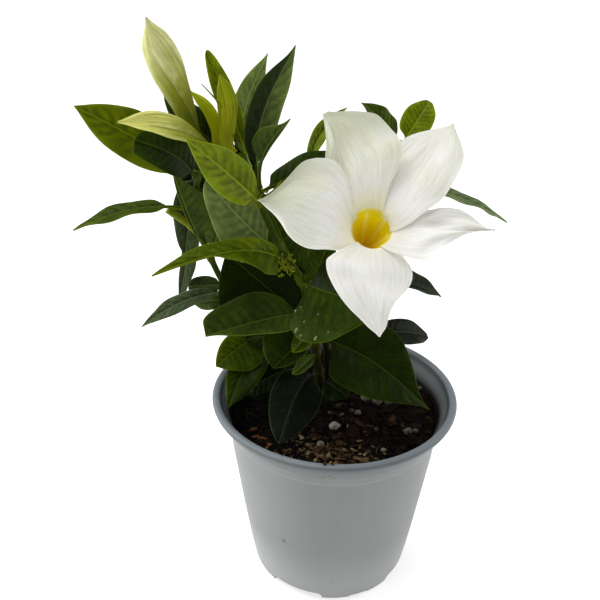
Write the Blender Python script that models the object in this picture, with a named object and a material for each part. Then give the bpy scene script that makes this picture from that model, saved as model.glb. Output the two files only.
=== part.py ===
"""A mandevilla with one open flower, growing in a round plastic nursery pot.

Metres, +Z up. The origin is the middle of the pot's base, on the surface that it
stands on, and the open flower faces -Y. Lengths below are in millimetres and
angles in degrees. Each piece of the plant is one closed solid, and pieces that
touch keep FIT between them.
"""

from math import atan2, cos, pi, radians, sin

import bmesh
import bpy
from mathutils import Matrix, Vector

MM = 0.001
FIT = 0.3

# The pot: a thin turned wall with a flared lip, its foot cut by arches and notches.
POT_HEIGHT = 101.0
RIM_RADIUS = 60.0
NECK_RADIUS = 53.0
BASE_RADIUS = 40.5
WALL = 1.4
LIP_WIDTH = 3.8
LIP_DEPTH = 10.0
STEP_DEPTH = 15.5
STEP_OUT = 0.5
ARCHES = 4
ARCH_TURN = -26.0
ARCH = (27.0, 4.8, 2.4)
NOTCH_TURN = 20.0
NOTCH = (10.0, 2.6, 1.2)
ARCH_REACH = 7.0
ROUND_STEPS = 48

# The soil: fills the pot to a little under the rim, slightly heaped in the middle.
SOIL_TOP = 88.0
SOIL_HEAP = 2.5
SOIL_RINGS = 4
SOCKET_FIT = 0.35
SOCKET_DEPTH = 3.0

# The crown and the roots that hold the stems, inside the soil.
CROWN = (-3.5, 8.0, 66.6)
CROWN_RADIUS = 13.0
CROWN_HEIGHT = 6.0
CROWN_STEPS = 20
ROOTS = 5
ROOT_LENGTH = 40.0
ROOT_RADIUS = 2.6
ROOT_TIP_RADIUS = 1.0
ROOT_POINT_GAP = 9.0

# Each stem: the points that it grows through, then its radius at foot and tip.
STEMS = {
    "front": (
        [(-6, 0, 73), (-6, 0, 94), (-10, -4, 128), (-16, -8, 161), (-25, -12, 179),
         (-33, -13, 198), (-36, -14, 208), (-43, -9, 221)],
        2.3, 1.3),
    "left": (
        [(-11, 9, 73), (-17, 12, 100), (-36, 16, 125), (-56, 18, 145), (-64, 16, 168),
         (-65, 12, 189), (-62, 6, 209)],
        2.0, 1.2),
    "right": (
        [(4, 8, 73), (7, 12, 97), (19, 22, 128), (27, 26, 165), (29, 24, 196),
         (27, 20, 220)],
        2.0, 1.1),
    "middle": (
        [(-3, 15, 73), (-3, 17, 100), (-6, 18, 140), (-10, 14, 180), (-14, 9, 211)],
        1.7, 1.0),
}
STEM_POINT_GAP = 7.0

# Each leaf: name, stem, height of its stalk on the stem, tip, width, the way its upper
# side faces at the stalk, how far its midrib bows up and to its right, how far its
# halves fold up, its twist towards the tip, and how drawn out its tip is (0 is blunt).
LEAVES = [
    ("leaf_front_01", "front", 203, (-58, -47, 236), 16, (0.1, -0.9, 0.4), 4, 0, 8, 0, 0.7),
    ("leaf_front_02", "front", 181.5, (-58, -14, 218), 22, (0.6, -0.8, 0.25), -1.5, -3, 4, 0, 0.4),
    ("leaf_front_03", "front", 169, (-75, -44.5, 182), 20, (0.25, -0.8, 0.55), 6, 4, 20, 45, 0.9),
    ("leaf_front_04", "front", 142, (-56, 6, 167), 24, (0.1, -0.9, 0.4), 2, 0, 8, 0, 0.5),
    ("leaf_front_05", "front", 147, (-57, -30, 147), 22, (0.0, -0.6, 0.8), 3, 2, 18, 0, 0.2),
    ("leaf_front_06", "front", 160, (9, -48, 164), 33, (-0.2, -0.8, 0.6), 3, 2, 14, 0, 0.5),
    ("leaf_front_07", "front", 132, (43, -24, 106), 35, (0.2, -0.7, 0.7), 5, -3, 12, 0, 0.9),
    ("leaf_front_08", "front", 213, (-20, -2, 262), 18, (0.35, -0.9, 0.1), 1, -7.5, 14, 0, 0.9),
    ("leaf_front_09", "front", 205, (-4, 14, 214), 13, (0.0, -0.5, 0.9), 1, 0, 12, 0, 0.7),
    ("leaf_front_10", "front", 204, (-22, -33, 239), 10, (-0.4, -0.8, 0.4), 4, -5.5, 10, 0, 1.8),
    ("leaf_front_11", "front", 215, (-32, 22, 256), 12, (0.3, -0.9, 0.2), -3, -5.5, 15, 0, 0.9),
    ("leaf_front_12", "front", 219.5, (-56, 6, 259), 8, (-0.2, -0.9, 0.3), -3, 0, 20, 0, 0.4),
    ("leaf_front_13", "front", 130, (-26, -20, 125), 15, (0.0, -0.8, 0.6), 3, 0, 10, 0, 0.4),
    ("leaf_front_14", "front", 137, (-20, -22, 135), 8, (0.0, -0.8, 0.6), 1, 0, 10, 0, 0.1),
    ("leaf_front_15", "front", 122, (-19, -18, 121), 5, (0.1, -0.9, 0.4), 1, 0, 5, 0, 0.2),
    ("leaf_front_16", "front", 112, (-26, -44, 101), 23, (0.0, -0.8, 0.5), 6, 4, 10, 0, 0.6),
    ("leaf_front_17", "front", 106, (4, -14, 106), 8, (0.0, -0.8, 0.6), 1, 0, 10, 0, 0.4),
    ("leaf_left_01", "left", 208.5, (-108, -8, 239), 22, (-0.1, -0.8, 0.6), 2, 0, 8, 0, 0.8),
    ("leaf_left_02", "left", 202.5, (-82, -27, 228), 17, (-0.1, -0.9, 0.5), 1.5, 3.6, 8, 0, 0.0),
    ("leaf_left_03", "left", 188, (-117, -4, 185), 14, (0.0, -0.15, 1.0), 6, 0, 12, 0, 0.9),
    ("leaf_left_04", "left", 193, (-76, 30, 136), 9, (-0.4, -1.0, 0.1), -3, 0.6, 10, 0, 0.4),
    ("leaf_left_05", "left", 147, (-96, 14, 127), 12, (-0.1, -0.6, 0.8), 6, 0, 12, 0, 0.9),
    ("leaf_left_06", "left", 151, (-74, 40, 140), 9, (0.0, -0.6, 0.8), 2, 0, 12, 0, 0.4),
    ("leaf_left_07", "left", 141, (-67, 34, 127), 7, (0.0, -0.6, 0.8), 2, 0, 12, 0, 0.4),
    ("leaf_left_08", "left", 124, (-57, -6, 117), 14, (-0.1, -0.8, 0.6), 2, 1, 10, 0, 0.3),
    ("leaf_left_09", "left", 120, (-51, -16, 100), 13, (-0.2, -0.8, 0.6), 5, 2, 12, 0, 0.6),
    ("leaf_left_10", "left", 106, (-49, 6, 93), 14, (0.0, -0.7, 0.7), 2, 0, 12, 0, 0.5),
    ("leaf_right_01", "right", 219, (8, 10, 238), 8, (-0.2, -0.6, 0.8), 1, 1, 25, 0, 0.8),
    ("leaf_right_02", "right", 218, (41, 36, 234), 14.5, (-0.1, -0.9, 0.4), 1, 0, 8, 0, 0.0),
    ("leaf_right_03", "right", 195, (84, 34, 177), 17, (0.2, 0.05, 1.0), 5, 0, 10, 0, 0.9),
    ("leaf_right_04", "right", 148, (57, 44, 131), 15, (0.0, -0.5, 0.9), 3, 0, 12, 0, 0.9),
    ("leaf_right_05", "right", 121, (52, 40, 109), 15.5, (0.0, -0.6, 0.8), 4, 0, 12, 0, 0.1),
    ("leaf_middle_01", "middle", 209, (2, 20, 234), 5, (-0.6, -0.7, 0.4), 0, -3, 30, 0, 0.9),
    ("leaf_back_01", "right", 190, (20, 72, 205), 22, (0.0, -0.2, 1.0), 5, 0, 12, 0, 0.9),
    ("leaf_back_02", "right", 152, (45, 68, 163), 24, (0.3, -0.1, 1.0), 6, 0, 14, 0, 0.9),
    ("leaf_back_03", "middle", 178, (-12, 68, 192), 22, (0.0, -0.2, 1.0), 6, 0, 12, 0, 0.9),
    ("leaf_back_04", "middle", 138, (10, 70, 138), 26, (0.0, -0.1, 1.0), 7, 0, 12, 0, 0.9),
    ("leaf_back_05", "left", 163, (-48, 64, 172), 23, (-0.2, 0.0, 1.0), 6, 0, 12, 0, 0.9),
    ("leaf_back_06", "left", 188.5, (-54, 50, 207), 17, (-0.1, 0.3, 1.0), 4, 0, 12, 0, 0.9),
    ("leaf_back_07", "middle", 118, (-34, 58, 118), 22, (0.0, 0.1, 1.0), 6, 0, 12, 0, 0.7),
]
STALK_SHARE = 0.10
STALK_HALF_WIDTH = 0.8
STALK_FIT = 0.45
BOW_SKEW = 0.8
STALK_THICKNESS = 1.5
BLADE_THICKNESS = 0.7
LEAF_ACROSS = 4
LEAF_ALONG = 7

# The flower: where its throat opens, and the way that it faces.
THROAT = (8, -50, 204.5)
FACING = (0.04, -0.74, 0.67)
THROAT_RADIUS = 8.0
TUBE_LENGTH = 47.0
TUBE_WALL = 0.7

# Each petal: its place round the throat (from the right, towards the top, seen from
# the front), its tip, and for its clockwise and its other side, how wide it is and
# how sharply that side draws in to the tip.
PETALS = [
    ("petal_left", 188, (-33, -48, 214), (20, 0.45), (12, 0.7)),
    ("petal_top", 110, (-9, -27, 241), (22, 0.42), (8, 0.8)),
    ("petal_upper_right", 46, (40, -24, 237), (18, 0.55), (14, 0.6)),
    ("petal_right", -12, (54, -50, 204), (15, 1.7), (11, 0.9)),
    ("petal_bottom", -84, (11, -75, 173), (19, 0.55), (13, 1.2)),
]
PETAL_THICKNESS = 0.6
PETAL_TILT = 11.0
PETAL_BOW = 1.5
PETAL_FOOT = 6.5
PETAL_SHOULDER = 0.52
PETAL_ACROSS = 6
PETAL_ALONG = 7
TUBE_STEPS = 20
CALYX_HOLE = 2.3
CALYX_RADIUS = 2.6
CALYX_WALL = 0.6
CALYX_LENGTH = 8.0
FLOWER_STALK_HEIGHT = 165
FLOWER_STALK_RADIUS = 1.3

# Each bud: name, the height of its foot on the stem, the points that it grows
# through from there, its widest radius, and its colour.
BUDS = [
    ("bud_large", 216, [(-53, -6, 222), (-62, -9, 238), (-69, -13, 256), (-74, -18, 273)],
     6.9, (0.6, 0.62, 0.3)),
    ("bud_side", 211, [(-54, -14, 220), (-73, -24, 236), (-85, -34, 238)],
     4.2, (0.75, 0.72, 0.4)),
    ("bud_small", 219.5, [(-51, -3, 229), (-64, 0, 246)], 2.8, (0.25, 0.3, 0.05)),
    ("bud_tip", 221, [(-45.5, -8.5, 234), (-48, -9, 251)], 4.3, (0.25, 0.3, 0.05)),
]
BUD_FOOT_SHARE = 0.2
BUD_SHOULDER = 2.0
BUD_SIDES = 10
BUD_POINT_GAP = 4.0


def remove_everything():
    for thing in list(bpy.data.objects):
        bpy.data.objects.remove(thing, do_unlink=True)


def material(name, colour, roughness, metallic=0.0):
    made = bpy.data.materials.get(name)
    if made is None:
        made = bpy.data.materials.new(name)
        made.use_nodes = True
        shader = made.node_tree.nodes["Principled BSDF"]
        shader.inputs["Base Color"].default_value = (*colour, 1)
        shader.inputs["Roughness"].default_value = roughness
        shader.inputs["Metallic"].default_value = metallic
    return made


def face_outwards(bm):
    bmesh.ops.recalc_face_normals(bm, faces=bm.faces)
    if bm.calc_volume(signed=True) < 0:
        bmesh.ops.reverse_faces(bm, faces=bm.faces)


def finish(bm, name, finish_material, smooth_angle=40):
    """Turn a bmesh in millimetres into a finished object."""
    bmesh.ops.remove_doubles(bm, verts=bm.verts, dist=0.001)
    face_outwards(bm)
    bmesh.ops.scale(bm, vec=(MM, MM, MM), verts=bm.verts)
    mesh = bpy.data.meshes.new(name)
    bm.to_mesh(mesh)
    bm.free()
    mesh.shade_smooth()
    mesh.set_sharp_from_angle(angle=radians(smooth_angle))
    mesh.materials.append(finish_material)
    made = bpy.data.objects.new(name, mesh)
    bpy.context.scene.collection.objects.link(made)
    return made


def turned(profile, steps=ROUND_STEPS):
    """A bmesh turned from (radius, height) points, all round Z."""
    bm = bmesh.new()
    points = [bm.verts.new((r, 0, z)) for r, z in profile]
    edges = [bm.edges.new(pair) for pair in zip(points, points[1:])]
    bmesh.ops.spin(bm, geom=points + edges, cent=(0, 0, 0), axis=(0, 0, 1),
                   angle=2 * pi, steps=steps, use_merge=True)
    bmesh.ops.remove_doubles(bm, verts=bm.verts, dist=0.001)
    return bm


def cutter(bm, name):
    face_outwards(bm)
    bmesh.ops.scale(bm, vec=(MM, MM, MM), verts=bm.verts)
    mesh = bpy.data.meshes.new(name)
    bm.to_mesh(mesh)
    bm.free()
    made = bpy.data.objects.new(name, mesh)
    bpy.context.scene.collection.objects.link(made)
    made.hide_render = True
    made.display_type = "WIRE"
    return made


def boolean(piece, tool, operation):
    step = piece.modifiers.new(tool.name, "BOOLEAN")
    step.operation = operation
    step.object = tool


# ---- the pot -------------------------------------------------------------------

def wall_radius(height):
    """Outer radius of the pot's plain wall at a height, from base to neck."""
    share = height / (POT_HEIGHT - LIP_DEPTH)
    return BASE_RADIUS + (NECK_RADIUS - BASE_RADIUS) * share ** 0.92


def pot_profile():
    neck = POT_HEIGHT - LIP_DEPTH
    step = POT_HEIGHT - STEP_DEPTH
    outside = [(0, 0), (BASE_RADIUS - 2, 0), (BASE_RADIUS, 1.5), (wall_radius(30), 30),
               (wall_radius(step) - STEP_OUT, step - 1), (wall_radius(step), step),
               (NECK_RADIUS, neck)]
    lip = [(RIM_RADIUS - 2.4, POT_HEIGHT - 5.8), (RIM_RADIUS - 0.7, POT_HEIGHT - 3.4),
           (RIM_RADIUS, POT_HEIGHT - 1.7), (RIM_RADIUS - 0.4, POT_HEIGHT - 0.6),
           (RIM_RADIUS - 1.5, POT_HEIGHT), (RIM_RADIUS - LIP_WIDTH + 0.9, POT_HEIGHT - 0.2),
           (RIM_RADIUS - LIP_WIDTH, POT_HEIGHT - 1.2),
           (RIM_RADIUS - LIP_WIDTH - 1.0, POT_HEIGHT - 4.2)]
    inside = [(NECK_RADIUS - WALL, neck + 0.5), (wall_radius(step) - WALL - STEP_OUT, step),
              (wall_radius(30) - WALL, 30), (BASE_RADIUS - WALL, WALL + 1.5),
              (BASE_RADIUS - WALL - 1.5, WALL), (0, WALL)]
    return outside + lip + inside


def arch(width, height, corner, turn):
    """A bmesh that cuts an arch out of the pot's foot, turned from the front."""
    bm = bmesh.new()
    bmesh.ops.create_cube(bm, size=1)
    crown_edges = [e for e in bm.edges if all(v.co.z > 0 for v in e.verts)
                   and abs(e.verts[0].co.x - e.verts[1].co.x) > 0.5]
    bmesh.ops.scale(bm, vec=(2 * ARCH_REACH, width, 2 * height), verts=bm.verts)
    bmesh.ops.bevel(bm, geom=crown_edges, offset=corner, offset_type="OFFSET",
                    segments=3, profile=0.5, affect="EDGES", material=-1)
    placed = Matrix.Rotation(radians(turn - 90), 4, "Z") @ Matrix.Translation((BASE_RADIUS, 0, 0))
    bmesh.ops.transform(bm, matrix=placed, verts=bm.verts)
    return bm


def make_pot():
    pot = finish(turned(pot_profile()), "pot", material("pot", (0.52, 0.56, 0.58), 0.45))
    for n in range(ARCHES):
        turn = 360 * n / ARCHES
        boolean(pot, cutter(arch(*ARCH, turn + ARCH_TURN), f"arch_cutter_{n + 1}"), "DIFFERENCE")
        boolean(pot, cutter(arch(*NOTCH, turn + NOTCH_TURN), f"notch_cutter_{n + 1}"), "DIFFERENCE")


# ---- stems, roots and soil -------------------------------------------------------

def smooth_route(points, gap=STEM_POINT_GAP):
    """Points about gap apart on a smooth curve through the given ones."""
    ends = [points[0], *points, points[-1]]
    hand = [Vector(p) for p in ends]
    route = []
    for a, b, c, d in zip(hand, hand[1:], hand[2:], hand[3:]):
        count = max(1, round((c - b).length / gap))
        for n in range(count):
            t = n / count
            route.append(0.5 * (2 * b + (c - a) * t + (2 * a - 5 * b + 4 * c - d) * t * t
                                + (3 * b - a - 3 * c + d) * t ** 3))
    return route + [hand[-1]]


def along_route(route, share):
    """The point a share of the way along a route, and the way the route runs there."""
    lengths = [(b - a).length for a, b in zip(route, route[1:])]
    left = share * sum(lengths)
    for a, b, length in zip(route, route[1:], lengths):
        if left <= length:
            return a.lerp(b, left / length), (b - a).normalized()
        left -= length
    return route[-1], (route[-1] - route[-2]).normalized()


def rod(route, start_radius, end_radius, across, sides=8, swell=None):
    """A bmesh of a round rod along a route; across is never along it.

    It tapers from one radius to the other, or has the radius swell(share) gives.
    """
    bm = bmesh.new()
    bmesh.ops.create_cone(bm, cap_ends=True, segments=sides, radius1=1, radius2=1, depth=1)
    lengthways = [e for e in bm.edges if abs(e.verts[0].co.z - e.verts[1].co.z) > 0.5]
    bmesh.ops.subdivide_edges(bm, edges=lengthways, cuts=len(route) - 2)
    for vert in bm.verts:
        share = vert.co.z + 0.5
        centre, ahead = along_route(route, share)
        right = ahead.cross(Vector(across)).normalized()
        front = right.cross(ahead)
        radius = start_radius + (end_radius - start_radius) * share
        if swell:
            radius = swell(share)
        vert.co = centre + (right * vert.co.x + front * vert.co.y) * radius
    return bm


STEM_ROUTES = {name: smooth_route(row[0]) for name, row in STEMS.items()}
FORWARD = (0, -1, 0)


def make_stems():
    bark = material("stem", (0.07, 0.12, 0.02), 0.5)
    for name, (_, foot, tip) in STEMS.items():
        finish(rod(STEM_ROUTES[name], foot, tip, FORWARD), f"stem_{name}", bark)


def root_routes():
    """Each root's route, and the level way square to it."""
    crown = Vector(CROWN)
    for n in range(ROOTS):
        angle = 2 * pi * n / ROOTS + 0.3
        out = Vector((cos(angle), sin(angle), 0))
        hand = [crown + out * reach + Vector((0, 0, -ROOT_LENGTH * drop))
                for reach, drop in ((4, 0.1), (14, 0.3), (21, 0.65), (24, 1.0))]
        yield smooth_route(hand, ROOT_POINT_GAP), (-out.y, out.x, 0)


def crown(grow=0.0):
    """A bmesh of the flat-topped crown that the stems stand on."""
    wide, high = CROWN_RADIUS + grow, CROWN_HEIGHT + grow
    bm = turned([(0, high), (wide - 2, high), (wide, high - 3), (wide, 0),
                 (wide - 4, -high), (0, -high)], CROWN_STEPS)
    bmesh.ops.translate(bm, vec=CROWN, verts=bm.verts)
    return bm


def make_roots():
    roots = finish(crown(), "roots", material("root", (0.45, 0.33, 0.18), 0.8))
    for n, (route, across) in enumerate(root_routes()):
        root = rod(route, ROOT_RADIUS, ROOT_TIP_RADIUS, across)
        boolean(roots, cutter(root, f"root_{n + 1}_tool"), "UNION")


def soil_profile():
    """Half of the soil's outline: inside the pot's wall, and heaped on top."""
    low = WALL + FIT
    rise = [(0, low), (BASE_RADIUS - WALL - 1.5 - FIT, low),
            (BASE_RADIUS - WALL - FIT, low + 1.5), (wall_radius(30) - WALL - FIT, 30)]
    edge = wall_radius(SOIL_TOP) - WALL - STEP_OUT - FIT - 0.6
    below = SOIL_TOP - 9
    rise += [(wall_radius(below) - WALL - STEP_OUT - FIT, below), (edge, SOIL_TOP)]
    heap = [(edge * (1 - n / SOIL_RINGS), SOIL_TOP + SOIL_HEAP * sin(pi / 2 * n / SOIL_RINGS))
            for n in range(1, SOIL_RINGS + 1)]
    return rise + heap


def make_soil():
    """The soil, with a socket round every stem, the crown and each root."""
    soil = finish(turned(soil_profile()), "soil", material("soil", (0.03, 0.02, 0.015), 0.95))
    for name, (_, foot, tip) in STEMS.items():
        route = STEM_ROUTES[name]
        below = [route[0] - Vector((0, 0, SOCKET_DEPTH)), *route]
        stem = rod(below, foot + SOCKET_FIT, tip + SOCKET_FIT, FORWARD)
        boolean(soil, cutter(stem, f"stem_{name}_cutter"), "DIFFERENCE")
    boolean(soil, cutter(crown(SOCKET_FIT), "crown_cutter"), "DIFFERENCE")
    for n, (route, across) in enumerate(root_routes()):
        root = rod(route, ROOT_RADIUS + SOCKET_FIT, ROOT_TIP_RADIUS + SOCKET_FIT, across)
        boolean(soil, cutter(root, f"root_cutter_{n + 1}"), "DIFFERENCE")


# ---- leaves ----------------------------------------------------------------------

def slab(across_cuts, along_cuts, place):
    """A bmesh of a thin closed slab, each point put by place(across, along, side).

    across runs from -1 to 1, along from 0 to 1, and side is 0 underneath and 1 on top.
    """
    bm = bmesh.new()
    bmesh.ops.create_grid(bm, x_segments=across_cuts, y_segments=along_cuts, size=1)
    raised = bmesh.ops.extrude_face_region(bm, geom=bm.faces[:])["geom"]
    raised = [part for part in raised if isinstance(part, bmesh.types.BMVert)]
    bmesh.ops.translate(bm, verts=raised, vec=(0, 0, 1))
    for vert in bm.verts:
        vert.co = place(vert.co.x, (vert.co.y + 1) / 2, vert.co.z)
    return bm


def blend(low, high, value):
    """0 below low, 1 above high, smooth between."""
    share = min(1, max(0, (value - low) / (high - low)))
    return share * share * (3 - 2 * share)


def at_height(route, height):
    """The point of a stem at a height, the share of the way to it, and the way on."""
    rises = [b.z - a.z for a, b in zip(route, route[1:])]
    for n, (a, rise) in enumerate(zip(route, rises)):
        if a.z + rise >= height:
            share = (height - a.z) / rise
            return a.lerp(route[n + 1], share), (n + share) / len(rises), (route[n + 1] - a)
    return route[-1], 1.0, route[-1] - route[-2]


def stem_seat(stem, height, target, radius):
    """Where a stalk of a radius starts: on a stem's bark, on the side of its target."""
    centre, share, ahead = at_height(STEM_ROUTES[stem], height)
    ahead.normalize()
    foot, top = STEMS[stem][1:]
    away = Vector(target) - centre
    out = (away - ahead * away.dot(ahead)).normalized()
    slant = abs(away.normalized().dot(ahead))
    return centre + out * (foot + (top - foot) * share + STALK_FIT + radius * slant)


class Leaf:
    """A leaf with its stalk, from its stem to its tip."""

    def __init__(self, row):
        (self.name, stem, height, tip, self.width, facing, self.bow, self.sweep, self.fold,
         self.twist, self.tip_draw) = row
        self.base = stem_seat(stem, height, tip, STALK_HALF_WIDTH)
        self.chord = Vector(tip) - self.base
        ahead = self.chord.normalized()
        facing = Vector(facing)
        self.up = (facing - ahead * facing.dot(ahead)).normalized()
        self.right = ahead.cross(self.up)

    def midrib(self, along):
        rise = sin(pi * along ** BOW_SKEW)
        return self.base + self.chord * along + (self.up * self.bow + self.right * self.sweep) * rise

    def frame(self, along):
        """The midrib's point at along, and the ways right and up there."""
        low, high = max(0, along - 0.02), min(1, along + 0.02)
        ahead = (self.midrib(high) - self.midrib(low)).normalized()
        up = (self.up - ahead * self.up.dot(ahead)).normalized()
        up = Matrix.Rotation(radians(self.twist * blend(0.05, 0.6, along)), 3, ahead) @ up
        return self.midrib(along), ahead.cross(up), up

    def half_width(self, along):
        if along <= STALK_SHARE:
            return STALK_HALF_WIDTH
        share = (along - STALK_SHARE) / (1 - STALK_SHARE)
        draw = 0.55 + self.tip_draw * share * share
        outline = max(0, sin(pi * share ** 0.85)) ** draw
        return STALK_HALF_WIDTH + (self.width / 2 - STALK_HALF_WIDTH) * outline

    def place(self, across, along, side):
        middle, right, up = self.frame(along)
        wide = across * self.half_width(along) * (1 if along < 1 else 0.4)
        blade = blend(STALK_SHARE * 0.8, STALK_SHARE * 1.6, along)
        thick = STALK_THICKNESS + (BLADE_THICKNESS - STALK_THICKNESS) * blade
        fold = radians(self.fold) * blade
        lift = abs(wide) * sin(fold) + (side - 0.5) * thick
        return middle + right * (wide * cos(fold)) + up * lift


def make_leaves():
    green = material("leaf", (0.05, 0.14, 0.015), 0.35)
    for row in LEAVES:
        leaf = Leaf(row)
        finish(slab(LEAF_ACROSS, LEAF_ALONG, leaf.place), leaf.name, green)


# ---- the flower ------------------------------------------------------------------

class Petal:
    """One lobe of the flower, from the throat's rim to its tip."""

    def __init__(self, row):
        self.name, turn, tip, self.clockwise, self.other = row
        self.facing = Vector(FACING).normalized()
        level = self.facing.cross(Vector((0, 0, 1))).normalized() * -1
        rise = self.facing.cross(level)
        out = level * cos(radians(turn)) + rise * sin(radians(turn))
        self.base = Vector(THROAT) + out * THROAT_RADIUS
        self.chord = Vector(tip) - self.base
        ahead = self.chord.normalized()
        self.up = (self.facing - ahead * self.facing.dot(ahead)).normalized()
        self.right = ahead.cross(self.up)

    def place(self, across, along, side):
        rise = 4 * along * (1 - along)
        middle = self.base + self.chord * along + self.up * (PETAL_BOW * rise)
        reach, draw = self.clockwise if across > 0 else self.other
        outline = max(0, sin(pi * along ** PETAL_SHOULDER)) ** draw
        foot = PETAL_FOOT * (1 - along)
        wide = across * (foot + (reach - foot) * outline if along < 1 else 0.3)
        tilt = PETAL_TILT * blend(-0.6, 0.5, along)
        lift = wide * sin(radians(tilt)) + (side - 0.5) * PETAL_THICKNESS
        return middle + self.right * (wide * cos(radians(tilt))) + self.up * lift


def make_petals():
    white = material("petal", (0.9, 0.9, 0.88), 0.5)
    for row in PETALS:
        petal = Petal(row)
        finish(slab(PETAL_ACROSS, PETAL_ALONG, petal.place), petal.name, white)


def along_facing():
    """A matrix that lays a shape turned about +Z on the flower's own line."""
    facing = Vector(FACING).normalized()
    turn = facing.to_track_quat("Z", "Y").to_matrix().to_4x4()
    return Matrix.Translation(THROAT) @ turn


def make_tube():
    """The long corolla tube: narrow at its foot, then swelling to the throat."""
    outside = [(0, -TUBE_LENGTH), (2.2, -TUBE_LENGTH), (2.4, -30), (3.6, -23), (5.6, -14),
               (7.0, -5), (THROAT_RADIUS - 0.4, -FIT)]
    inside = [(r - TUBE_WALL, z) for r, z in reversed(outside[2:])] + [(0, -32)]
    bm = turned(outside + inside, TUBE_STEPS)
    bmesh.ops.transform(bm, matrix=along_facing(), verts=bm.verts)
    finish(bm, "flower_tube", material("flower_tube", (0.8, 0.75, 0.45), 0.5))


def make_flower_stalk():
    base = Vector(THROAT) - Vector(FACING).normalized() * (TUBE_LENGTH + FIT)
    start = stem_seat("front", FLOWER_STALK_HEIGHT, base, FLOWER_STALK_RADIUS)
    bend = base - Vector(FACING).normalized() * 6
    route = smooth_route([start, start.lerp(bend, 0.6), bend, base], 3)
    green = material("flower_stalk", (0.12, 0.22, 0.03), 0.5)
    finish(rod(route, FLOWER_STALK_RADIUS, 1.9, (0, 0, 1)), "flower_stalk", green)


def make_calyx():
    """The green cup that holds the tube's foot, with five points."""
    foot = -TUBE_LENGTH
    ring = [(CALYX_HOLE, foot - 1.5), (CALYX_HOLE + CALYX_WALL, foot - 1.8),
            (CALYX_RADIUS + CALYX_WALL, foot + 0.5), (CALYX_RADIUS + CALYX_WALL, foot + 3),
            (CALYX_RADIUS + CALYX_WALL + 0.6, foot + CALYX_LENGTH),
            (CALYX_RADIUS + 0.6, foot + CALYX_LENGTH), (CALYX_RADIUS, foot + 3),
            (CALYX_RADIUS, foot - 0.3)]
    bm = turned([*ring, ring[0]], TUBE_STEPS)
    for vert in bm.verts:
        reach = vert.co.z - (foot + 3)
        if reach > 0:
            lobe = abs(cos(2.5 * atan2(vert.co.y, vert.co.x)))
            vert.co.z = foot + 3 + reach * (0.25 + 0.75 * lobe)
    bmesh.ops.transform(bm, matrix=along_facing(), verts=bm.verts)
    finish(bm, "calyx", material("calyx", (0.15, 0.25, 0.03), 0.5))


# ---- the buds --------------------------------------------------------------------

def bud_radius(share):
    """A bud's radius along it, as a share of its widest: a slim foot, then a spindle."""
    swell = max(0, sin(pi * share ** BUD_SHOULDER)) ** 1.2
    return BUD_FOOT_SHARE * (1 - 0.8 * share ** 4) + (1 - BUD_FOOT_SHARE) * swell


def make_buds():
    for name, height, hand, radius, colour in BUDS:
        start = stem_seat("front", height, hand[0], radius * BUD_FOOT_SHARE)
        route = smooth_route([start, *map(Vector, hand)], BUD_POINT_GAP)
        bm = rod(route, 1, 1, FORWARD, BUD_SIDES, lambda share: radius * bud_radius(share))
        finish(bm, name, material(name, colour, 0.5))


remove_everything()
make_pot()
make_roots()
make_soil()
make_stems()
make_leaves()
make_petals()
make_tube()
make_flower_stalk()
make_calyx()
make_buds()
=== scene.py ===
"""The finished look of a mandevilla with one open flower in a round nursery pot.

The pieces are modelled in millimetres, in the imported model's own frame: +Z up, the
middle of the pot's base at the origin and the flower facing -Y. MM turns them into
metres as each piece is finished. Angles are in degrees.
"""

import random
from math import atan2, cos, degrees, exp, hypot, log, pi, radians, sin, sqrt

import bmesh
import bpy
from mathutils import Matrix, Vector, noise


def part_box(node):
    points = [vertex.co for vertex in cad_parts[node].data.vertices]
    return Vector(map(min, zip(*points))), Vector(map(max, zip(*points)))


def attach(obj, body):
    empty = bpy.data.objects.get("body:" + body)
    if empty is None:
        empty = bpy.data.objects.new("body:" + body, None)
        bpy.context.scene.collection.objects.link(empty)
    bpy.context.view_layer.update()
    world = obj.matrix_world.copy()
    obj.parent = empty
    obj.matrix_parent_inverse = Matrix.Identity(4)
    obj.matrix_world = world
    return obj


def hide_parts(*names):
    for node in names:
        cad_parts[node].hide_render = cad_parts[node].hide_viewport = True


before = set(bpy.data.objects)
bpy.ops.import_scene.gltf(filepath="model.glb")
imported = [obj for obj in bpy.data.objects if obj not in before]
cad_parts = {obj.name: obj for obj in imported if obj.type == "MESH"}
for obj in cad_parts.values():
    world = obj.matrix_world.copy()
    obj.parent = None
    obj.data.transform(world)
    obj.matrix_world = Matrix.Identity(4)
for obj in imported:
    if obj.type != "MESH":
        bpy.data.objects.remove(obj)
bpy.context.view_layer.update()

MM = 0.001
BLACK = (0.0, 0.0, 0.0)
UP = Vector((0, 0, 1))
FORWARD = (0, -1, 0)
# Points nearer to each other than this become one.
SAME_POINT = 0.0005

POT_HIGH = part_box("pot")[1] / MM
SOIL_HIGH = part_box("soil")[1] / MM

# The pot: a thin turned wall with a flared lip, its foot cut by arches and notches.
POT_HEIGHT = POT_HIGH.z
RIM_RADIUS = POT_HIGH.x
NECK_RADIUS = 53.0
BASE_RADIUS = 40.5
WALL = 1.4
LIP_WIDTH = 4.0
LIP_DEPTH = 10.0
STEP_DEPTH = 15.5
STEP_OUT = 0.5
# The arches and notches: how many of each, then each kind's width, height, corner
# radius and turn from the front.
ARCHES = 4
ARCH = (27.0, 4.8, 2.4, -26.0)
NOTCH = (10.0, 2.6, 1.2, 20.0)
ARCH_REACH = 7.0
POT_STEPS = 144
CORNER_ROUND = 0.8
POT_CREASE = 30

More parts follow.
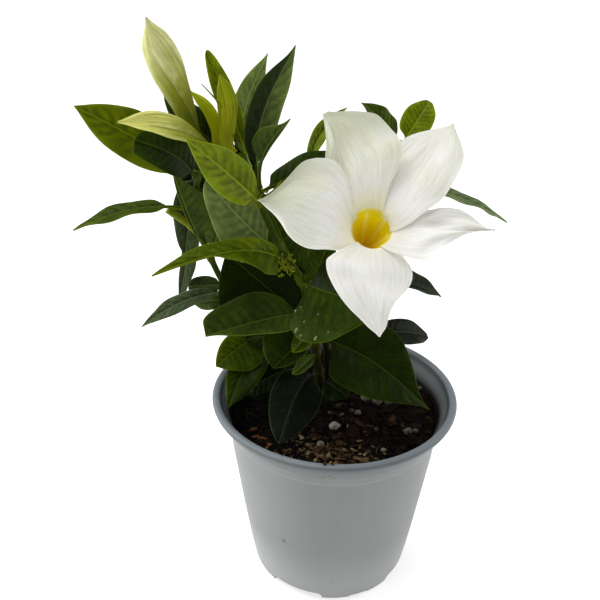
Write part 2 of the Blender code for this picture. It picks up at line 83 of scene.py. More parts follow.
# Dirt on the pot's wall: where it sits, its size, and its colour.
POT_SPECKS = [
    ((-23.8, -39.7, 39.3), 1.3, (0.10, 0.075, 0.05)),
    ((-11.4, -46.3, 50.0), 0.8, (0.30, 0.23, 0.22)),
    ((0.1, -42.9, 14.9), 1.1, (0.30, 0.26, 0.22)),
    ((-24.2, -53.0, 98.0), 3.2, (0.13, 0.14, 0.09)),
]

# The soil's surface, and how much of each bit lies on it.
SOIL_HEAP = 2.5
SOIL_TOP = SOIL_HIGH.z - SOIL_HEAP
SOIL_EDGE = 50.2
SOIL_RINGS = 36
SOIL_STEPS = 108
SOIL_ROUGHNESS = 1.5
BARK_CHIPS = 620
CRUMBS = 520
FIBRES = 90
PERLITE_GRAINS = 15
LOOSE_REACH = SOIL_EDGE - 1.5

# Each stem: the points that it grows through, then its radius at foot and tip.
STEMS = {
    "front": (
        [(-6, 0, 73), (-6, 0, 94), (-10, -4, 128), (-16, -8, 161), (-25, -12, 179),
         (-33, -13, 198), (-36, -14, 208), (-43, -9, 221)],
        2.3, 1.3),
    "left": (
        [(-11, 9, 73), (-17, 12, 100), (-35, 16, 125), (-52, 18, 145), (-61.5, 16, 168),
         (-65, 12, 189), (-62, 6, 209)],
        2.0, 1.2),
    "right": (
        [(4, 8, 73), (7, 12, 97), (19, 22, 128), (27, 26, 165), (29, 24, 196),
         (27, 20, 220)],
        2.0, 1.1),
    "middle": (
        [(-3, 15, 73), (-3, 17, 100), (-6, 18, 140), (-10, 14, 180), (-14, 9, 211)],
        1.7, 1.0),
}
STEM_POINT_GAP = 7.0
STEM_SIDES = 20
STEM_RING_GAP = 1.2
NODE_SWELL = 0.38
NODE_LENGTH = 1.9
STEM_ROUGHNESS = 0.05

# Each leaf: name, stem, height of its stalk on the stem, tip, how far its edges stand
# off its midrib (or its left and its right edge), the way its upper side faces, how far
# its midrib bows up and to its right, how far its halves fold up, how drawn out its tip
# is (0 is blunt; or its left and its right half), how light it is with the light and
# shade that fall on it painted in (or its left and its right half, one of which may be
# painted lit and the other shaded), and how much painted sheen greys it.
LEAVES = [
    ("leaf_front_01", "front", 203, (-58, -47, 236), 8, (0.1, -0.9, 0.4), 4, 0, 8, 0.7, 0.15, 0.05),
    ("leaf_front_02", "front", 181.5, (-56, -14, 211), (14.5, 11), (0.6, -0.8, 0.25),
     -1.5, -1, 4, (0, 0.3), (0.175, 0.155), 0.6),
    ("leaf_front_03", "front", 176, (-75, -44.5, 182), (14, 6.5), (0.25, -0.8, 0.55),
     7, 5, 20, (32, 0.6), (0.07, 0.105), 0),
    ("leaf_front_04", "front", 142, (-51, 4, 171), (24.5, 15.5), (0.1, -0.9, 0.4),
     2, 0, 8, 0.2, (0.012, 0.011), 0),
    ("leaf_front_05", "front", 147, (-57.5, -30, 147), (8.5, 13.5), (0.0, -0.6, 0.8),
     3, 0, 14, (0.9, -0.32), (0.055, 0.042), 0.2),
    ("leaf_front_06", "front", 163, (17, -42, 168), (16.5, 24), (-0.2, -0.8, 0.6),
     3, 1.5, 14, 0.5, (0.018, 0.034), 0),
    ("leaf_front_07", "front", 132, (43, -24, 106), (18, 19), (0.2, -0.7, 0.7),
     5, -3, 12, (1.8, 0.8), (0.016, 0.018), 0),
    ("leaf_front_08", "front", 207, (-20, -2, 262), 7, (0.35, -0.9, 0.1),
     1, -7, 12, (1.3, 0.6), (0.022, 0.125), 0.5),
    ("leaf_front_09", "front", 205, (2, 14, 217), 7.5, (0.0, -0.5, 0.9), 1, 0, 12, 0.7, 0.033, 0),
    ("leaf_front_10", "front", 204, (-22, -28, 239), (7.5, 1.5), (-0.4, -0.8, 0.4),
     2, -5, 10, (2.2, 1), (0.062, 0.04), 0.2),
    ("leaf_front_11", "front", 215, (-32, 22, 256), 6, (0.3, -0.9, 0.2), -3, -5.5, 15, 0.9, 0.20, 0.5),
    ("leaf_front_12", "front", 219.5, (-56, 6, 259), 4.75, (-0.2, -0.9, 0.3), -3, 0, 20, 0.05, 0.15, 0),
    ("leaf_front_13", "front", 130, (-29, -20, 125), (5.5, 15.5), (0.0, -0.8, 0.6),
     3, 2, 10, (0.4, -0.1), (0.024, 0.025), 0),
    ("leaf_front_14", "front", 137, (-20, -22, 135), 4.25, (0.0, -0.8, 0.6), 1, 0, 10, 0.1, 0.065, 0),
    ("leaf_front_15", "front", 124, (-20, -22, 123.5), 3, (0.1, -0.9, 0.4), 1, 0, 5, 0.0, 0.05, 0),
    ("leaf_front_16", "front", 112, (-26, -44, 101), (12, 11.5), (0.0, -0.8, 0.5),
     6, 4, 10, 0.25, (0.0055, 0.0085), 0.9),
    ("leaf_front_17", "front", 108, (6, -14, 106), 6.5, (0.0, -0.8, 0.6), 1, 0, 10, 0.3, 0.013, 0.1),
    ("leaf_left_01", "left", 208.5, (-108, -8, 239), (10.5, 11), (-0.1, -0.8, 0.6), 2, 0, 8, 0.5, 0.12, 0),
    ("leaf_left_02", "left", 206, (-80.5, -27, 230.5), (8, 8.5), (-0.1, -0.9, 0.5),
     1.5, 3.2, 8, (-0.4, -0.2), 0.024, 0),
    ("leaf_left_03", "left", 188, (-117, -4, 185), 7, (0.0, -0.15, 1.0), 6, 0, 12, 0.9, 0.062, 0),
    ("leaf_left_04", "left", 193, (-79, 30, 134), (5.5, 3.5), (-0.4, -1.0, 0.1),
     -3, 0, 10, 0.3, (0.06, 0.05), 0.8),
    ("leaf_left_05", "left", 145, (-96, 14, 127), 5, (-0.1, -0.6, 0.8), 4, 2.5, 12, 0.9, 0.062, 0.9),
    ("leaf_left_06", "left", 149, (-74, 30, 142), 5, (0.0, -0.9, 0.4), 1, 0, 12, -0.1, (0.03, 0.024), 0),
    ("leaf_left_07", "left", 141, (-72.5, 33, 131), 5, (0.0, -0.8, 0.6), 2, 0, 12, 0.5, 0.045, 0),
    ("leaf_left_08", "left", 124, (-57, -6, 117), (13.5, 8), (-0.1, -0.8, 0.6),
     2, 1, 10, 0.3, (0.055, 0.08), 0),
    ("leaf_left_09", "left", 120, (-51, -16, 100), (10, 7.5), (-0.2, -0.8, 0.6),
     5, 2, 12, 0.6, (0.022, 0.032), 0),
    ("leaf_left_10", "left", 106, (-49, 6, 93), (9, 10.5), (0.0, -0.7, 0.7), 2, 0, 12, 0.5, 0.009, 0),
    ("leaf_right_01", "right", 219, (8, 10, 238), 5.5, (-0.2, -0.7, 0.7), 1, 1, 20, 0.8, 0.063, 0.05),
    ("leaf_right_02", "right", 218, (41, 36, 234), 7.25, (-0.1, -0.9, 0.4), 1, 0, 8, 0.0, 0.16, 0),
    ("leaf_right_03", "right", 195, (84, 34, 177), 7, (0.2, -0.12, 1.0), 5, 0, 10, 0.9, 0.14, 0.85),
    ("leaf_right_04", "right", 148, (58, 44, 131), (9, 4), (0.0, -0.5, 0.9), 3, 0, 12, 0.9, 0.014, 0.7),
    ("leaf_right_05", "right", 121, (52, 40, 109), 7.75, (0.0, -0.6, 0.8), 4, 0, 12, 0.1, 0.011, 0.9),
    ("leaf_middle_01", "middle", 209, (2, 20, 234), 4.5, (-0.6, -0.7, 0.4), 0, -5, 25, 0.9, 0.135, 0.1),
    ("leaf_back_01", "right", 190, (20, 72, 205), 11, (0.0, -0.2, 1.0), 5, 0, 12, 0.9, 0.1, 0),
    ("leaf_back_02", "right", 156, (47, 68, 172), 9.5, (0.3, -0.1, 1.0), 6, 0, 14, 0.9, 0.07, 0),
    ("leaf_back_03", "middle", 178, (-12, 68, 192), 11, (0.0, -0.2, 1.0), 6, 0, 12, 0.9, 0.12, 0),
    ("leaf_back_04", "middle", 138, (10, 70, 138), 13, (0.0, -0.1, 1.0), 7, 0, 12, 0.9, 0.03, 0.1),
    ("leaf_back_05", "left", 163, (-48, 64, 172), 11.5, (-0.2, 0.0, 1.0), 6, 0, 12, 0.9, 0.06, 0),
    ("leaf_back_06", "left", 188.5, (-54, 50, 207), 8.5, (-0.1, 0.3, 1.0), 4, 0, 12, 0.9, 0.1, 0),
    ("leaf_back_07", "middle", 118, (-34, 58, 118), 11, (0.0, 0.1, 1.0), 6, 0, 12, 0.7, 0.03, 0),
]
# Small leaves that grow between the others, in the same terms.
YOUNG_LEAVES = [
    ("young_leaf_1", "front", 214, (-75, 8, 241), 7.5, (0.1, -0.9, 0.4), 0, 0, 8, 0.3, 0.02, 0),
    ("young_leaf_2", "front", 163, (-34, 0, 201), (7.5, 11.5), (0.3, -0.9, 0.2),
     0, 0, 8, 0.3, (0.045, 0.05), 0),
    ("young_leaf_3", "left", 207, (-73, 22, 163), (6, 8.5), (-0.2, -1.0, 0.2),
     -2, 0.5, 8, 0.1, (0.045, 0.03), 0.5),
    ("young_leaf_5", "front", 160, (-3, 6, 181), (12, 6), (0.2, -0.9, 0.3),
     0, 1, 14, 0.4, (0.045, 0.05), 0),
    ("young_leaf_6", "front", 152, (2, 16, 166), 13, (0.0, -0.9, 0.3), 0, 0, 8, 0.2, 0.012, 0),
    ("young_leaf_7", "front", 203, (-44, -3, 225), 4.5, (0.1, -0.9, 0.4), 0, 0, 8, 0.2, 0.008, 0),
    ("young_leaf_8", "front", 136, (-44, 8, 124), 8, (0.0, -0.9, 0.4), 0, 0, 8, 0.2, 0.012, 0),
    ("young_leaf_9", "front", 150, (-15, 12, 172), 7, (0.1, -0.9, 0.3), 0, 0, 8, 0.2, 0.012, 0),
    ("young_leaf_10", "left", 180, (-65, 14, 214), 8.5, (-0.1, -0.9, 0.4),
     0, 0, 8, 0.1, (0.02, 0.045), 0.4),
    ("young_leaf_4", "left", 172, (-73, 4, 210), (1.6, 11), (-0.1, -0.9, 0.4),
     0, -1, 10, (0.9, 1.6), (0.06, 0.05), 0.15),
]
# How much of a leaf's length is its stalk, and the leaves that have their own share.
STALK_SHARE = 0.10
OWN_STALKS = {"leaf_front_03": 0.03, "leaf_front_08": 0.17, "leaf_front_10": 0.42,
              "leaf_left_03": 0.22, "leaf_left_06": 0.03, "leaf_left_07": 0.03}
# Where a leaf's left and right halves are widest: less is nearer the stalk.
BELLY = (0.85, 0.85)
OWN_BELLIES = {"leaf_front_02": (0.42, 0.85), "leaf_front_03": (0.62, 0.85),
               "leaf_front_05": (0.5, 0.85), "leaf_front_06": (0.85, 0.66),
               "leaf_front_07": (0.6, 0.55), "leaf_front_10": (0.5, 0.85)}
# The leaves that twist towards their tip.
TWISTS = {"leaf_front_03": 45}
STALK_RADIUS = 0.85
STALK_FIT = 0.2
BOW_SKEW = 0.8
BLADE_THICKNESS = 0.55
LEAF_ACROSS = 28
LEAF_ALONG = 64
VEINS = 10
VEIN_RAKE = 0.16
VEIN_BEND = 1.3
VEIN_DEPTH = 0.13
QUILTING = 0.16
RIB_GROOVE = 0.35
RIB_KEEL = 0.6
MARGIN_WAVE = 0.55
MARGIN_ROLL = 8.4

# The flower: where its throat opens, the way that it faces, and the level and rising
# ways that are square to it.
THROAT = Vector((8.8, -50, 204.5))
FACING = Vector((0.04, -0.74, 0.67)).normalized()
FLOWER_LEVEL = UP.cross(FACING).normalized()
FLOWER_RISE = FACING.cross(FLOWER_LEVEL)
FLOWER_SEAT = 165
THROAT_RADIUS = 7.2
TUBE_LENGTH = 47.0
TUBE_STEPS = 144
FUNNEL_DEPTH = 18.0
FUNNEL_LEAN = (-1.6, -2.4)
RIDGES = (99, 38, -12, -100, 172)
RIDGE_WIDTH = 8.0
RIDGE_HEIGHT = 0.25
# Where the throat is cream for longer: the way, how wide, and how much deeper.
CREAM_LIPS = ((185, 45, 3.6), (99, 12, 1.6), (42, 26, 2.6))

# Each petal: its place round the throat (from the right, towards the top, seen from
# the front), its tip, how far its clockwise and its other edge stand off its middle at
# equal steps from foot to tip, how cream it is (partly its own cream, partly painted
# shade on the petals that face away from the light), how much painted shade darkens
# its outer part, and how much deeper its yellow starts.
PETALS = [
    ("petal_left", 188, (-33, -48, 214), (8, 13, 18, 20.8, 22.1, 22, 20.7, 17.5, 9.5, 3, 0),
     (6, 8.5, 9.7, 10.8, 11.3, 10.8, 8.9, 5.6, 3.1, 1.6, 0), 0.7, 0.9, 1.5),
    ("petal_top", 110, (-9, -27, 241), (6, 10.8, 15.7, 18.8, 20.9, 21.4, 20.6, 19.3, 16.8, 10, 1.2),
     (6, 8, 9, 9.5, 9.3, 8.3, 6.3, 4.2, 2.5, 1.4, 0.8), 0.9, 0.7, 0.5),
    ("petal_upper_right", 46, (40, -24, 237), (7.3, 10, 11.7, 13.1, 14, 13.8, 13.5, 12.4, 10.6, 6, 0.6),
     (6, 8.5, 11, 12.8, 13.8, 13.6, 12.3, 10.2, 7, 3.4, 0.6), 0.35, 0.0, 1.2),
    ("petal_right", -12, (54, -50, 204), (6.2, 9.6, 11.8, 12, 9.3, 6.2, 3.8, 1.9, 1.2, 0.9, 0),
     (5, 6.5, 7.8, 8.5, 8.9, 9.3, 9.2, 8.4, 5.6, 1.4, 0), 0.0, 0.0, 0.0),
    ("petal_bottom", -84, (11, -75, 173), (15, 18, 18.7, 18.5, 17.4, 15.8, 13.5, 10.5, 6.9, 3.8, 0.4),
     (6, 10, 12.8, 13.6, 12.8, 10.4, 7.1, 4.8, 3.6, 2.6, 0.4), 0.0, 0.0, 0.0),
]
PETAL_FOOT = 8.0
PETAL_THICKNESS = 0.5
PETAL_TILT = 11.0
PETAL_BOW = 1.5
PETAL_INSIDE = 0.16
PETAL_SWELL = 2.0
PETAL_CREASE = 0.16
PETAL_RUFFLE = 0.9
PETAL_SPREAD = 54
PETAL_STAGGER = 0.5
PETAL_ACROSS = 48
PETAL_ALONG = 64
LIP_SOFTNESS = 1.3

# Each bud: name, the height of its foot on the stem, the points that it grows
# through from there, its radius at equal steps from foot to tip, its turns of furled
# petals, and its look.
BUDS = [
    ("bud_large", 216, [(-52, -6, 219), (-59, -7, 224), (-64, -9, 238), (-69.5, -14, 257),
                        (-74.5, -18, 273)],
     (1.5, 1.7, 2.2, 3.1, 4.2, 5.4, 6.6, 5.3, 0.4), 0.35, "cream"),
    ("bud_side", 211, [(-55, -13, 224), (-63, -20, 232), (-73, -27, 237.5), (-84.5, -34, 238.5)],
     (1.3, 1.5, 1.9, 2.9, 4.3, 3.4, 0.4), 0.35, "yellow"),
    ("bud_small", 219.5, [(-51.5, -3, 222), (-52, -3, 229), (-55.5, -2, 237), (-63, 0, 244)],
     (1.3, 1.8, 2.3, 2.6, 2.6, 2.0, 0.3), 0.2, "green"),
    ("bud_tip", 221, [(-48, -9, 224), (-47, -9, 233), (-47, -9, 243), (-49.5, -9, 252)],
     (2.6, 3.0, 3.2, 3.6, 3.9, 2.8, 0.3), 0.1, "striped"),
]
# Each look: over how much of the bud it pales to the tip, then the colours of its tip,
# its middle, its foot, its streaks, the painted shade in its seams and the painted
# highlight on its petals' edges.
BUD_LOOKS = {
    "cream": [(0.55, 0.95), (0.64, 0.64, 0.28), (0.25, 0.27, 0.02), (0.075, 0.10, 0.001),
              (0.20, 0.23, 0.02), (0.13, 0.155, 0.01), (0.74, 0.74, 0.42)],
    "yellow": [(0.50, 0.84), (0.66, 0.66, 0.17), (0.26, 0.28, 0.024), (0.11, 0.13, 0.002),
               (0.21, 0.23, 0.02), (0.10, 0.12, 0.006), (0.78, 0.79, 0.34)],
    "green": [(0.55, 0.85), (0.31, 0.38, 0.003), (0.35, 0.40, 0.003), (0.34, 0.38, 0.004),
              (0.22, 0.16, 0.01), (0.13, 0.14, 0.003), (0.42, 0.46, 0.01)],
    "striped": [(0.55, 0.85), (0.24, 0.30, 0.005), (0.32, 0.36, 0.008), (0.26, 0.29, 0.008),
                (0.13, 0.09, 0.004), (0.08, 0.08, 0.003), (0.36, 0.42, 0.02)],
}
BUD_SIDES = 72
BUD_RINGS = 90
BUD_LOBES = 5
FURL_DEPTH = 0.13


# ---- building finishes ---------------------------------------------------------------

class Value:
    """Something that a material's nodes work out, and that can be reckoned with."""

    def __init__(self, finish, socket):
        self.finish = finish
        self.socket = socket

    def __add__(self, other):
        return self.finish.math("ADD", self, other)

    def __sub__(self, other):
        return self.finish.math("SUBTRACT", self, other)

    def __rsub__(self, other):
        return self.finish.math("SUBTRACT", other, self)

    def __mul__(self, other):
        return self.finish.math("MULTIPLY", self, other)

    def __pow__(self, other):
        return self.finish.math("POWER", self, other)

    def __abs__(self):
        return self.finish.math("ABSOLUTE", self)


class Finish:
    """A material made of nodes round one Principled shader."""

    def __init__(self, name, **constants):
        self.material = bpy.data.materials.new(name)
        self.material.use_nodes = True
        self.tree = self.material.node_tree
        self.sockets = self.tree.nodes["Principled BSDF"].inputs
        for socket, value in constants.items():
            self.feed(self.sockets[socket.replace("_", " ")], value)

    def feed(self, socket, value):
        if isinstance(value, Value):
            self.tree.links.new(value.socket, socket)
        elif socket.type == "RGBA":
            socket.default_value = (*value, 1)
        else:
            socket.default_value = value

    def node(self, kind, output, fed, **settings):
        """What a new node gives at an output, once it is set and its sockets are fed."""
        made = self.tree.nodes.new("ShaderNode" + kind)
        for setting, value in settings.items():
            setattr(made, setting, value)
        for socket, value in fed.items():
            self.feed(made.inputs[socket], value)
        return Value(self, made.outputs[output])

    def attribute(self, name):
        return self.node("Attribute", "Fac", {}, attribute_name=name)

    def place(self, stretch=(1, 1, 1)):
        """Where a point is on the object, in metres, stretched."""
        where = self.node("TexCoord", "Object", {})
        return self.node("Mapping", "Vector", {"Vector": where, "Scale": stretch})

    def coordinate(self, axis):
        return self.node("SeparateXYZ", axis, {"Vector": self.place()})

    def joined(self, x, y):
        return self.node("CombineXYZ", "Vector", {"X": x, "Y": y})

    def math(self, operation, *values):
        return self.node("Math", 0, dict(enumerate(values)), operation=operation)

    def step(self, value, low, high, at_low=0.0, at_high=1.0):
        """at_low where value is low, at_high where it is high, smooth between."""
        if low > high:
            low, high, at_low, at_high = high, low, at_high, at_low
        fed = {0: value, 1: low, 2: high, 3: at_low, 4: at_high}
        return self.node("MapRange", "Result", fed, interpolation_type="SMOOTHSTEP")

    def noise(self, scale, detail=3.0, roughness=0.55, where=None):
        fed = {"Vector": where or self.place(), "Scale": scale, "Detail": detail,
               "Roughness": roughness}
        return self.node("TexNoise", "Fac", fed)

    def cells(self, scale, where=None):
        fed = {"Vector": where or self.place(), "Scale": scale}
        return self.node("TexVoronoi", "Distance", fed)

    def mix(self, share, first, second):
        return self.node("Mix", 2, {0: share, 6: first, 7: second}, data_type="RGBA")

    def done(self, colour, roughness, height=None, depth=0.0):
        """The finished material. Its relief's height is 0 to 1, over a depth in metres."""
        self.feed(self.sockets["Base Color"], colour)
        self.feed(self.sockets["Roughness"], roughness)
        if height is not None:
            fed = {"Height": height, "Strength": 1.0, "Distance": depth}
            self.feed(self.sockets["Normal"], self.node("Bump", "Normal", fed))
        return self.material


def leaf_green(f, light):
    """A leaf's green at a lightness: yellowish, or paler and greyer where the leaf's painted sheen is."""
    fresh = f.mix(f.step(light, 0.01, 0.15), (0.50, 1.0, 0.015), (0.76, 1.0, 0.010))
    yellowish = f.mix(light, BLACK, fresh)
    # Painted sheen: a pale greenish colour standing in for the light that the glossy leaf reflects.
    greyish = f.mix(light, BLACK, (0.70, 1.0, 0.45))
    return f.mix(f.attribute("grey"), yellowish, greyish)


def leaf_veins(f, strength, width):
    """0 between a leaf's side veins, rising to 1 along each of them."""
    across, along = f.attribute("across"), f.attribute("along")
    out = abs(across)
    beat = (along - out ** VEIN_BEND * VEIN_RAKE) * VEINS
    beat = beat + f.math("GREATER_THAN", across, 0.0) * 0.5 + f.noise(120, 2) * 0.9
    vein = f.step(f.math("PINGPONG", beat, 0.5), width, 0.0)
    return vein * (f.step(out, 0.95, 0.4) * strength)


def leaf_upper():
    """A leaf's upper side: mottled green, quilted between fine veins, with a soft gloss, painted shade
    beside the midrib and along the veins, and painted highlights between them.
    """
    f = Finish("leaf", Specular_IOR_Level=0.035, Coat_Weight=0.02, Coat_Roughness=0.2)
    # light is the leaf's tone with the light and shade that fall on it painted in.
    light, from_rib = f.attribute("light"), f.attribute("from_rib")
    side_vein, valley = leaf_veins(f, 1.0, 0.07), leaf_veins(f, 1.0, 0.42)
    midrib, beside = f.step(from_rib, 0.55, 0.15), f.step(from_rib, 2.2, 0.3)
    margin = f.step(f.attribute("to_margin"), 0.4, 0.08)
    mottle = f.step(f.noise(95, 4, 0.6), 0.32, 0.70, 0.72, 1.22)
    quilt = f.step(f.noise(420, 3, 0.6), 0.35, 0.7, 0.9, 1.14)
    shade = light * mottle * quilt * f.step(f.attribute("along"), 0.55, 1.0, 1.0, 1.35)
    # Painted shade beside the midrib's groove and in the valleys along the side veins, painted highlights
    # on the quilting between them.
    shade = shade * (1.0 - beside * 0.18) * (1.15 - valley * 0.38)
    lines = f.math("MAXIMUM", side_vein * 0.22, midrib * 0.8)
    colour = f.mix(lines, leaf_green(f, shade), leaf_green(f, light * 1.7 + 0.03))
    colour = f.mix(margin * 0.7, colour, leaf_green(f, light * 2.2 + 0.05))
    relief = side_vein * -0.6 + f.cells(700) * 0.55
    return f.done(colour, f.noise(260, 3) * 0.16 + 0.34, relief, 0.0003)


def leaf_under():
    """A leaf's dull underside, paler than the top, with the veins standing out."""
    f = Finish("leaf_under", Specular_IOR_Level=0.03)
    light = f.attribute("light")
    midrib = f.step(f.attribute("from_rib"), 0.9, 0.4)
    veins = f.math("MAXIMUM", leaf_veins(f, 0.6, 0.06), midrib)
    mottle = f.step(f.noise(120, 4), 0.3, 0.7, 0.85, 1.15)
    colour = leaf_green(f, (light + 0.03) * mottle)
    colour = f.mix(veins * 0.6, colour, leaf_green(f, light * 1.5 + 0.06))
    return f.done(colour, 0.55, veins + f.noise(1200, 2) * 0.3, 0.0002)


def water_finish():
    """Drops that take the green of the leaf under them."""
    f = Finish("water", Specular_IOR_Level=0.5)
    depth = f.step(f.noise(600, 2), 0.3, 0.7)
    return f.done(f.mix(depth, (0.035, 0.06, 0.004), (0.09, 0.13, 0.02)), 0.06)


def petal_finish(name, throat):
    """White lobes with faint lines running out, cream towards a throat of a colour, the cream also
    painting shade on lobes that face away from the light.
    """
    f = Finish(name, Specular_IOR_Level=0.3, Sheen_Weight=0.12, Sheen_Roughness=0.5,
               Subsurface_Weight=0.25, Subsurface_Scale=0.002,
               Subsurface_Radius=(1.0, 0.9, 0.6))
    across, along = f.attribute("across"), f.attribute("along")
    out, cream = f.attribute("from_throat"), f.attribute("cream")
    fan = f.joined(across * 11.0, along * 2.2)
    lines = f.step(f.noise(1.3, 4, 0.6, fan), 0.30, 0.60)
    patch = f.step(f.noise(65, 3), 0.38, 0.62, 0.35, 1.0)
    # The tint is partly the lobes' own cream near the throat, partly painted shade on the lobes that face
    # away from the light.
    tint = (cream * 0.75 + 0.25) * patch * f.step(along, 0.1, 0.5, 0.55, 1.0)
    colour = f.mix(tint, (0.95, 0.935, 0.905), (0.83, 0.83, 0.66))
    groove = f.mix(tint, (0.84, 0.83, 0.775), (0.72, 0.735, 0.56))
    colour = f.mix(lines, groove, colour)
    # Painted shade: the lobe's outer part darkened to a dull green.
    colour = f.mix(f.attribute("dusk"), colour, (0.46, 0.50, 0.34))
    blush = f.step(f.noise(130, 2), 0.55, 0.72) * 0.22
    colour = f.mix(blush * f.step(out, 22.0, 3.0), colour, (0.93, 0.72, 0.68))
    edge = out + f.noise(1.4, 3, where=fan) * -2.2
    edge = edge + (1.0 - cream * 1.6) + f.attribute("yellow_from")
    warm = f.step(edge, 8.0, -0.5) * (cream * 0.5 + 0.28)
    colour = f.mix(warm, colour, (0.82, 0.76, 0.42))
    colour = f.mix(f.step(edge, 0.0, -2.1), colour, throat)
    relief = f.noise(2.6, 4, where=fan) + f.noise(1500, 2) * 0.3
    return f.done(colour, 0.5, relief, 0.0003)


def tube_finish():
    """The flower's tube: cream outside, bright yellow inside with paler ridges."""
    f = Finish("flower_tube", Specular_IOR_Level=0.2, Subsurface_Weight=0.2,
               Subsurface_Scale=0.002, Subsurface_Radius=(1.0, 0.8, 0.1))
    deep = f.attribute("deep")
    yellow = f.mix(f.step(deep, 0.05, 0.5), (0.92, 0.77, 0.004), (0.95, 0.78, 0.004))
    yellow = f.mix(f.step(deep, 0.4, 1.0), yellow, (0.92, 0.66, 0.004))
    ribs = f.noise(1.0, 2, where=f.joined(f.attribute("turn") * 9.0, deep * 26.0))
    yellow = f.mix(f.step(ribs, 0.45, 0.7) * 0.25, yellow, (0.60, 0.40, 0.003))
    yellow = f.mix(f.attribute("ridge") * 0.8, yellow, (0.97, 0.84, 0.18))
    yellow = f.mix(f.attribute("cream"), yellow, (0.86, 0.84, 0.66))
    streak = f.noise(50, 3, where=f.place((9, 9, 1)))
    outer = f.mix(streak, (0.55, 0.60, 0.28), (0.8, 0.78, 0.55))
    return f.done(f.mix(f.attribute("inside"), outer, yellow), 0.5, streak, 0.0003)


def bud_finish(name, pale_from, tip, middle, foot, streak, seam, edge):
    """A furled bud: coloured from foot to tip, streaked along, with painted shade in its seams and painted
    highlights on its petals' edges.
    """
    f = Finish(f"bud_{name}", Specular_IOR_Level=0.04, Subsurface_Weight=0.1,
               Subsurface_Scale=0.001)
    along, ridge = f.attribute("along"), f.attribute("ridge")
    at = along + (f.noise(90, 3) - 0.5) * 0.3
    colour = f.mix(f.step(at, 0.28, 0.64), foot, middle)
    colour = f.mix(f.step(at, *pale_from), colour, tip)
    streaks = f.noise(1.0, 5, 0.65, f.joined(f.attribute("turn") * 26.0, along * 2.6))
    colour = f.mix(f.step(streaks, 0.44, 0.70, 0.0, 0.75), colour, streak)
    # Painted highlight along the furled petals' raised edges on the bud's upper part.
    painted_edge_highlight = f.step(f.noise(150, 3), 0.35, 0.65) * f.step(at, 0.35, 0.8)
    colour = f.mix(f.step(ridge, 0.35, 0.95, 0.0, 0.7) * painted_edge_highlight, colour, edge)
    # Painted shade in the seams, where one furled petal tucks under the next.
    painted_seam_shade = f.step(f.noise(110, 2), 0.4, 0.6) * f.step(at, 0.3, 0.65)
    colour = f.mix(f.step(ridge, 0.2, 0.0, 0.0, 0.6) * painted_seam_shade, colour, seam)
    return f.done(colour, 0.45, streaks, 0.0003)


def stem_finish():
    """Green stem that turns brown and corky towards the soil."""
    f = Finish("stem", Specular_IOR_Level=0.04)
    fibre = f.noise(900, 4, where=f.place((1, 1, 0.12)))
    age = f.step(f.coordinate("Z") + fibre * 0.05, 0.20, 0.125)
    young = f.mix(fibre, (0.014, 0.027, 0.0004), (0.042, 0.066, 0.001))
    old = f.mix(fibre, (0.006, 0.005, 0.0015), (0.026, 0.022, 0.007))
    swollen = f.attribute("node") * (0.6 - age * 0.5)
    colour = f.mix(swollen, f.mix(age, young, old), (0.075, 0.095, 0.008))
    lenticels = f.step(f.cells(500, f.place((1, 1, 0.5))), 0.22, 0.12)
    colour = f.mix(lenticels * 0.3, colour, (0.10, 0.09, 0.03))
    return f.done(colour, 0.45, fibre, 0.0004)


def bract_finish():
    """Small yellow-green scales and shoots."""
    f = Finish("bract", Specular_IOR_Level=0.04)
    mottle = f.noise(500, 3)
    colour = f.mix(mottle, (0.05, 0.075, 0.002), (0.24, 0.27, 0.012))
    return f.done(colour, 0.45, mottle, 0.0003)


def pot_finish():
    """Grey moulded plastic: a darker lip with a painted highlight along its top and painted shadow under
    it, the foot painted lighter as if lit by the floor, painted shade inside, and a few specks.
    """
    f = Finish("pot", Specular_IOR_Level=0.3)
    height = f.coordinate("Z")
    cloud = f.noise(34, 4, where=f.place((1, 1, 0.35)))
    streak = f.noise(260, 3, where=f.place((1, 1, 0.05)))
    colour = f.mix(f.step(cloud, 0.3, 0.7), (0.212, 0.226, 0.222), (0.242, 0.256, 0.252))
    # Painted light: the wall lighter towards its foot, as if lit from the pale floor.
    colour = f.mix(f.step(height, 0.040, 0.008, 0.0, 0.6), colour, (0.37, 0.385, 0.38))
    colour = f.mix(f.step(streak, 0.5, 0.8) * 0.15, colour, (0.29, 0.30, 0.30))
    lip = f.step(height + cloud * 0.002, 0.0915, 0.0975)
    colour = f.mix(lip * 0.85, colour, (0.095, 0.112, 0.122))
    # Painted highlight along the lip's rounded top.
    painted_lip_highlight = f.step(abs(height - 0.1009), 0.0011, 0.0, 0.0, 0.75)
    colour = f.mix(painted_lip_highlight, colour, (0.22, 0.25, 0.275))
    # Painted shadow on the wall just under the lip's flare.
    painted_lip_shadow = f.step(abs(height - 0.0915), 0.0035, 0.0, 0.0, 0.4)
    colour = f.mix(painted_lip_shadow, colour, (0.10, 0.105, 0.10))
    for spot, size, tint in POT_SPECKS:
        spot, size = [MM * c for c in spot], MM * size
        away = f.node("VectorMath", "Value", {0: f.place(), 1: spot}, operation="DISTANCE")
        ragged = away + f.noise(900, 2) * size
        colour = f.mix(f.step(ragged, size * 1.7, size * 0.8, 0.0, 0.8), colour, tint)
    dust = f.step(f.cells(420), 0.16, 0.06)
    colour = f.mix(dust * 0.10, colour, (0.13, 0.12, 0.10))
    # Painted shade on the inner wall, darkening down towards the soil.
    peat = f.step(height + cloud * 0.004, 0.0985, 0.0935)
    painted_inner_shade = f.mix(peat, (0.060, 0.066, 0.068), (0.004, 0.003, 0.002))
    colour = f.mix(f.attribute("inside"), colour, painted_inner_shade)
    relief = f.noise(900, 3) + streak * 0.6
    return f.done(colour, cloud * 0.2 + 0.36, relief, 0.00012)


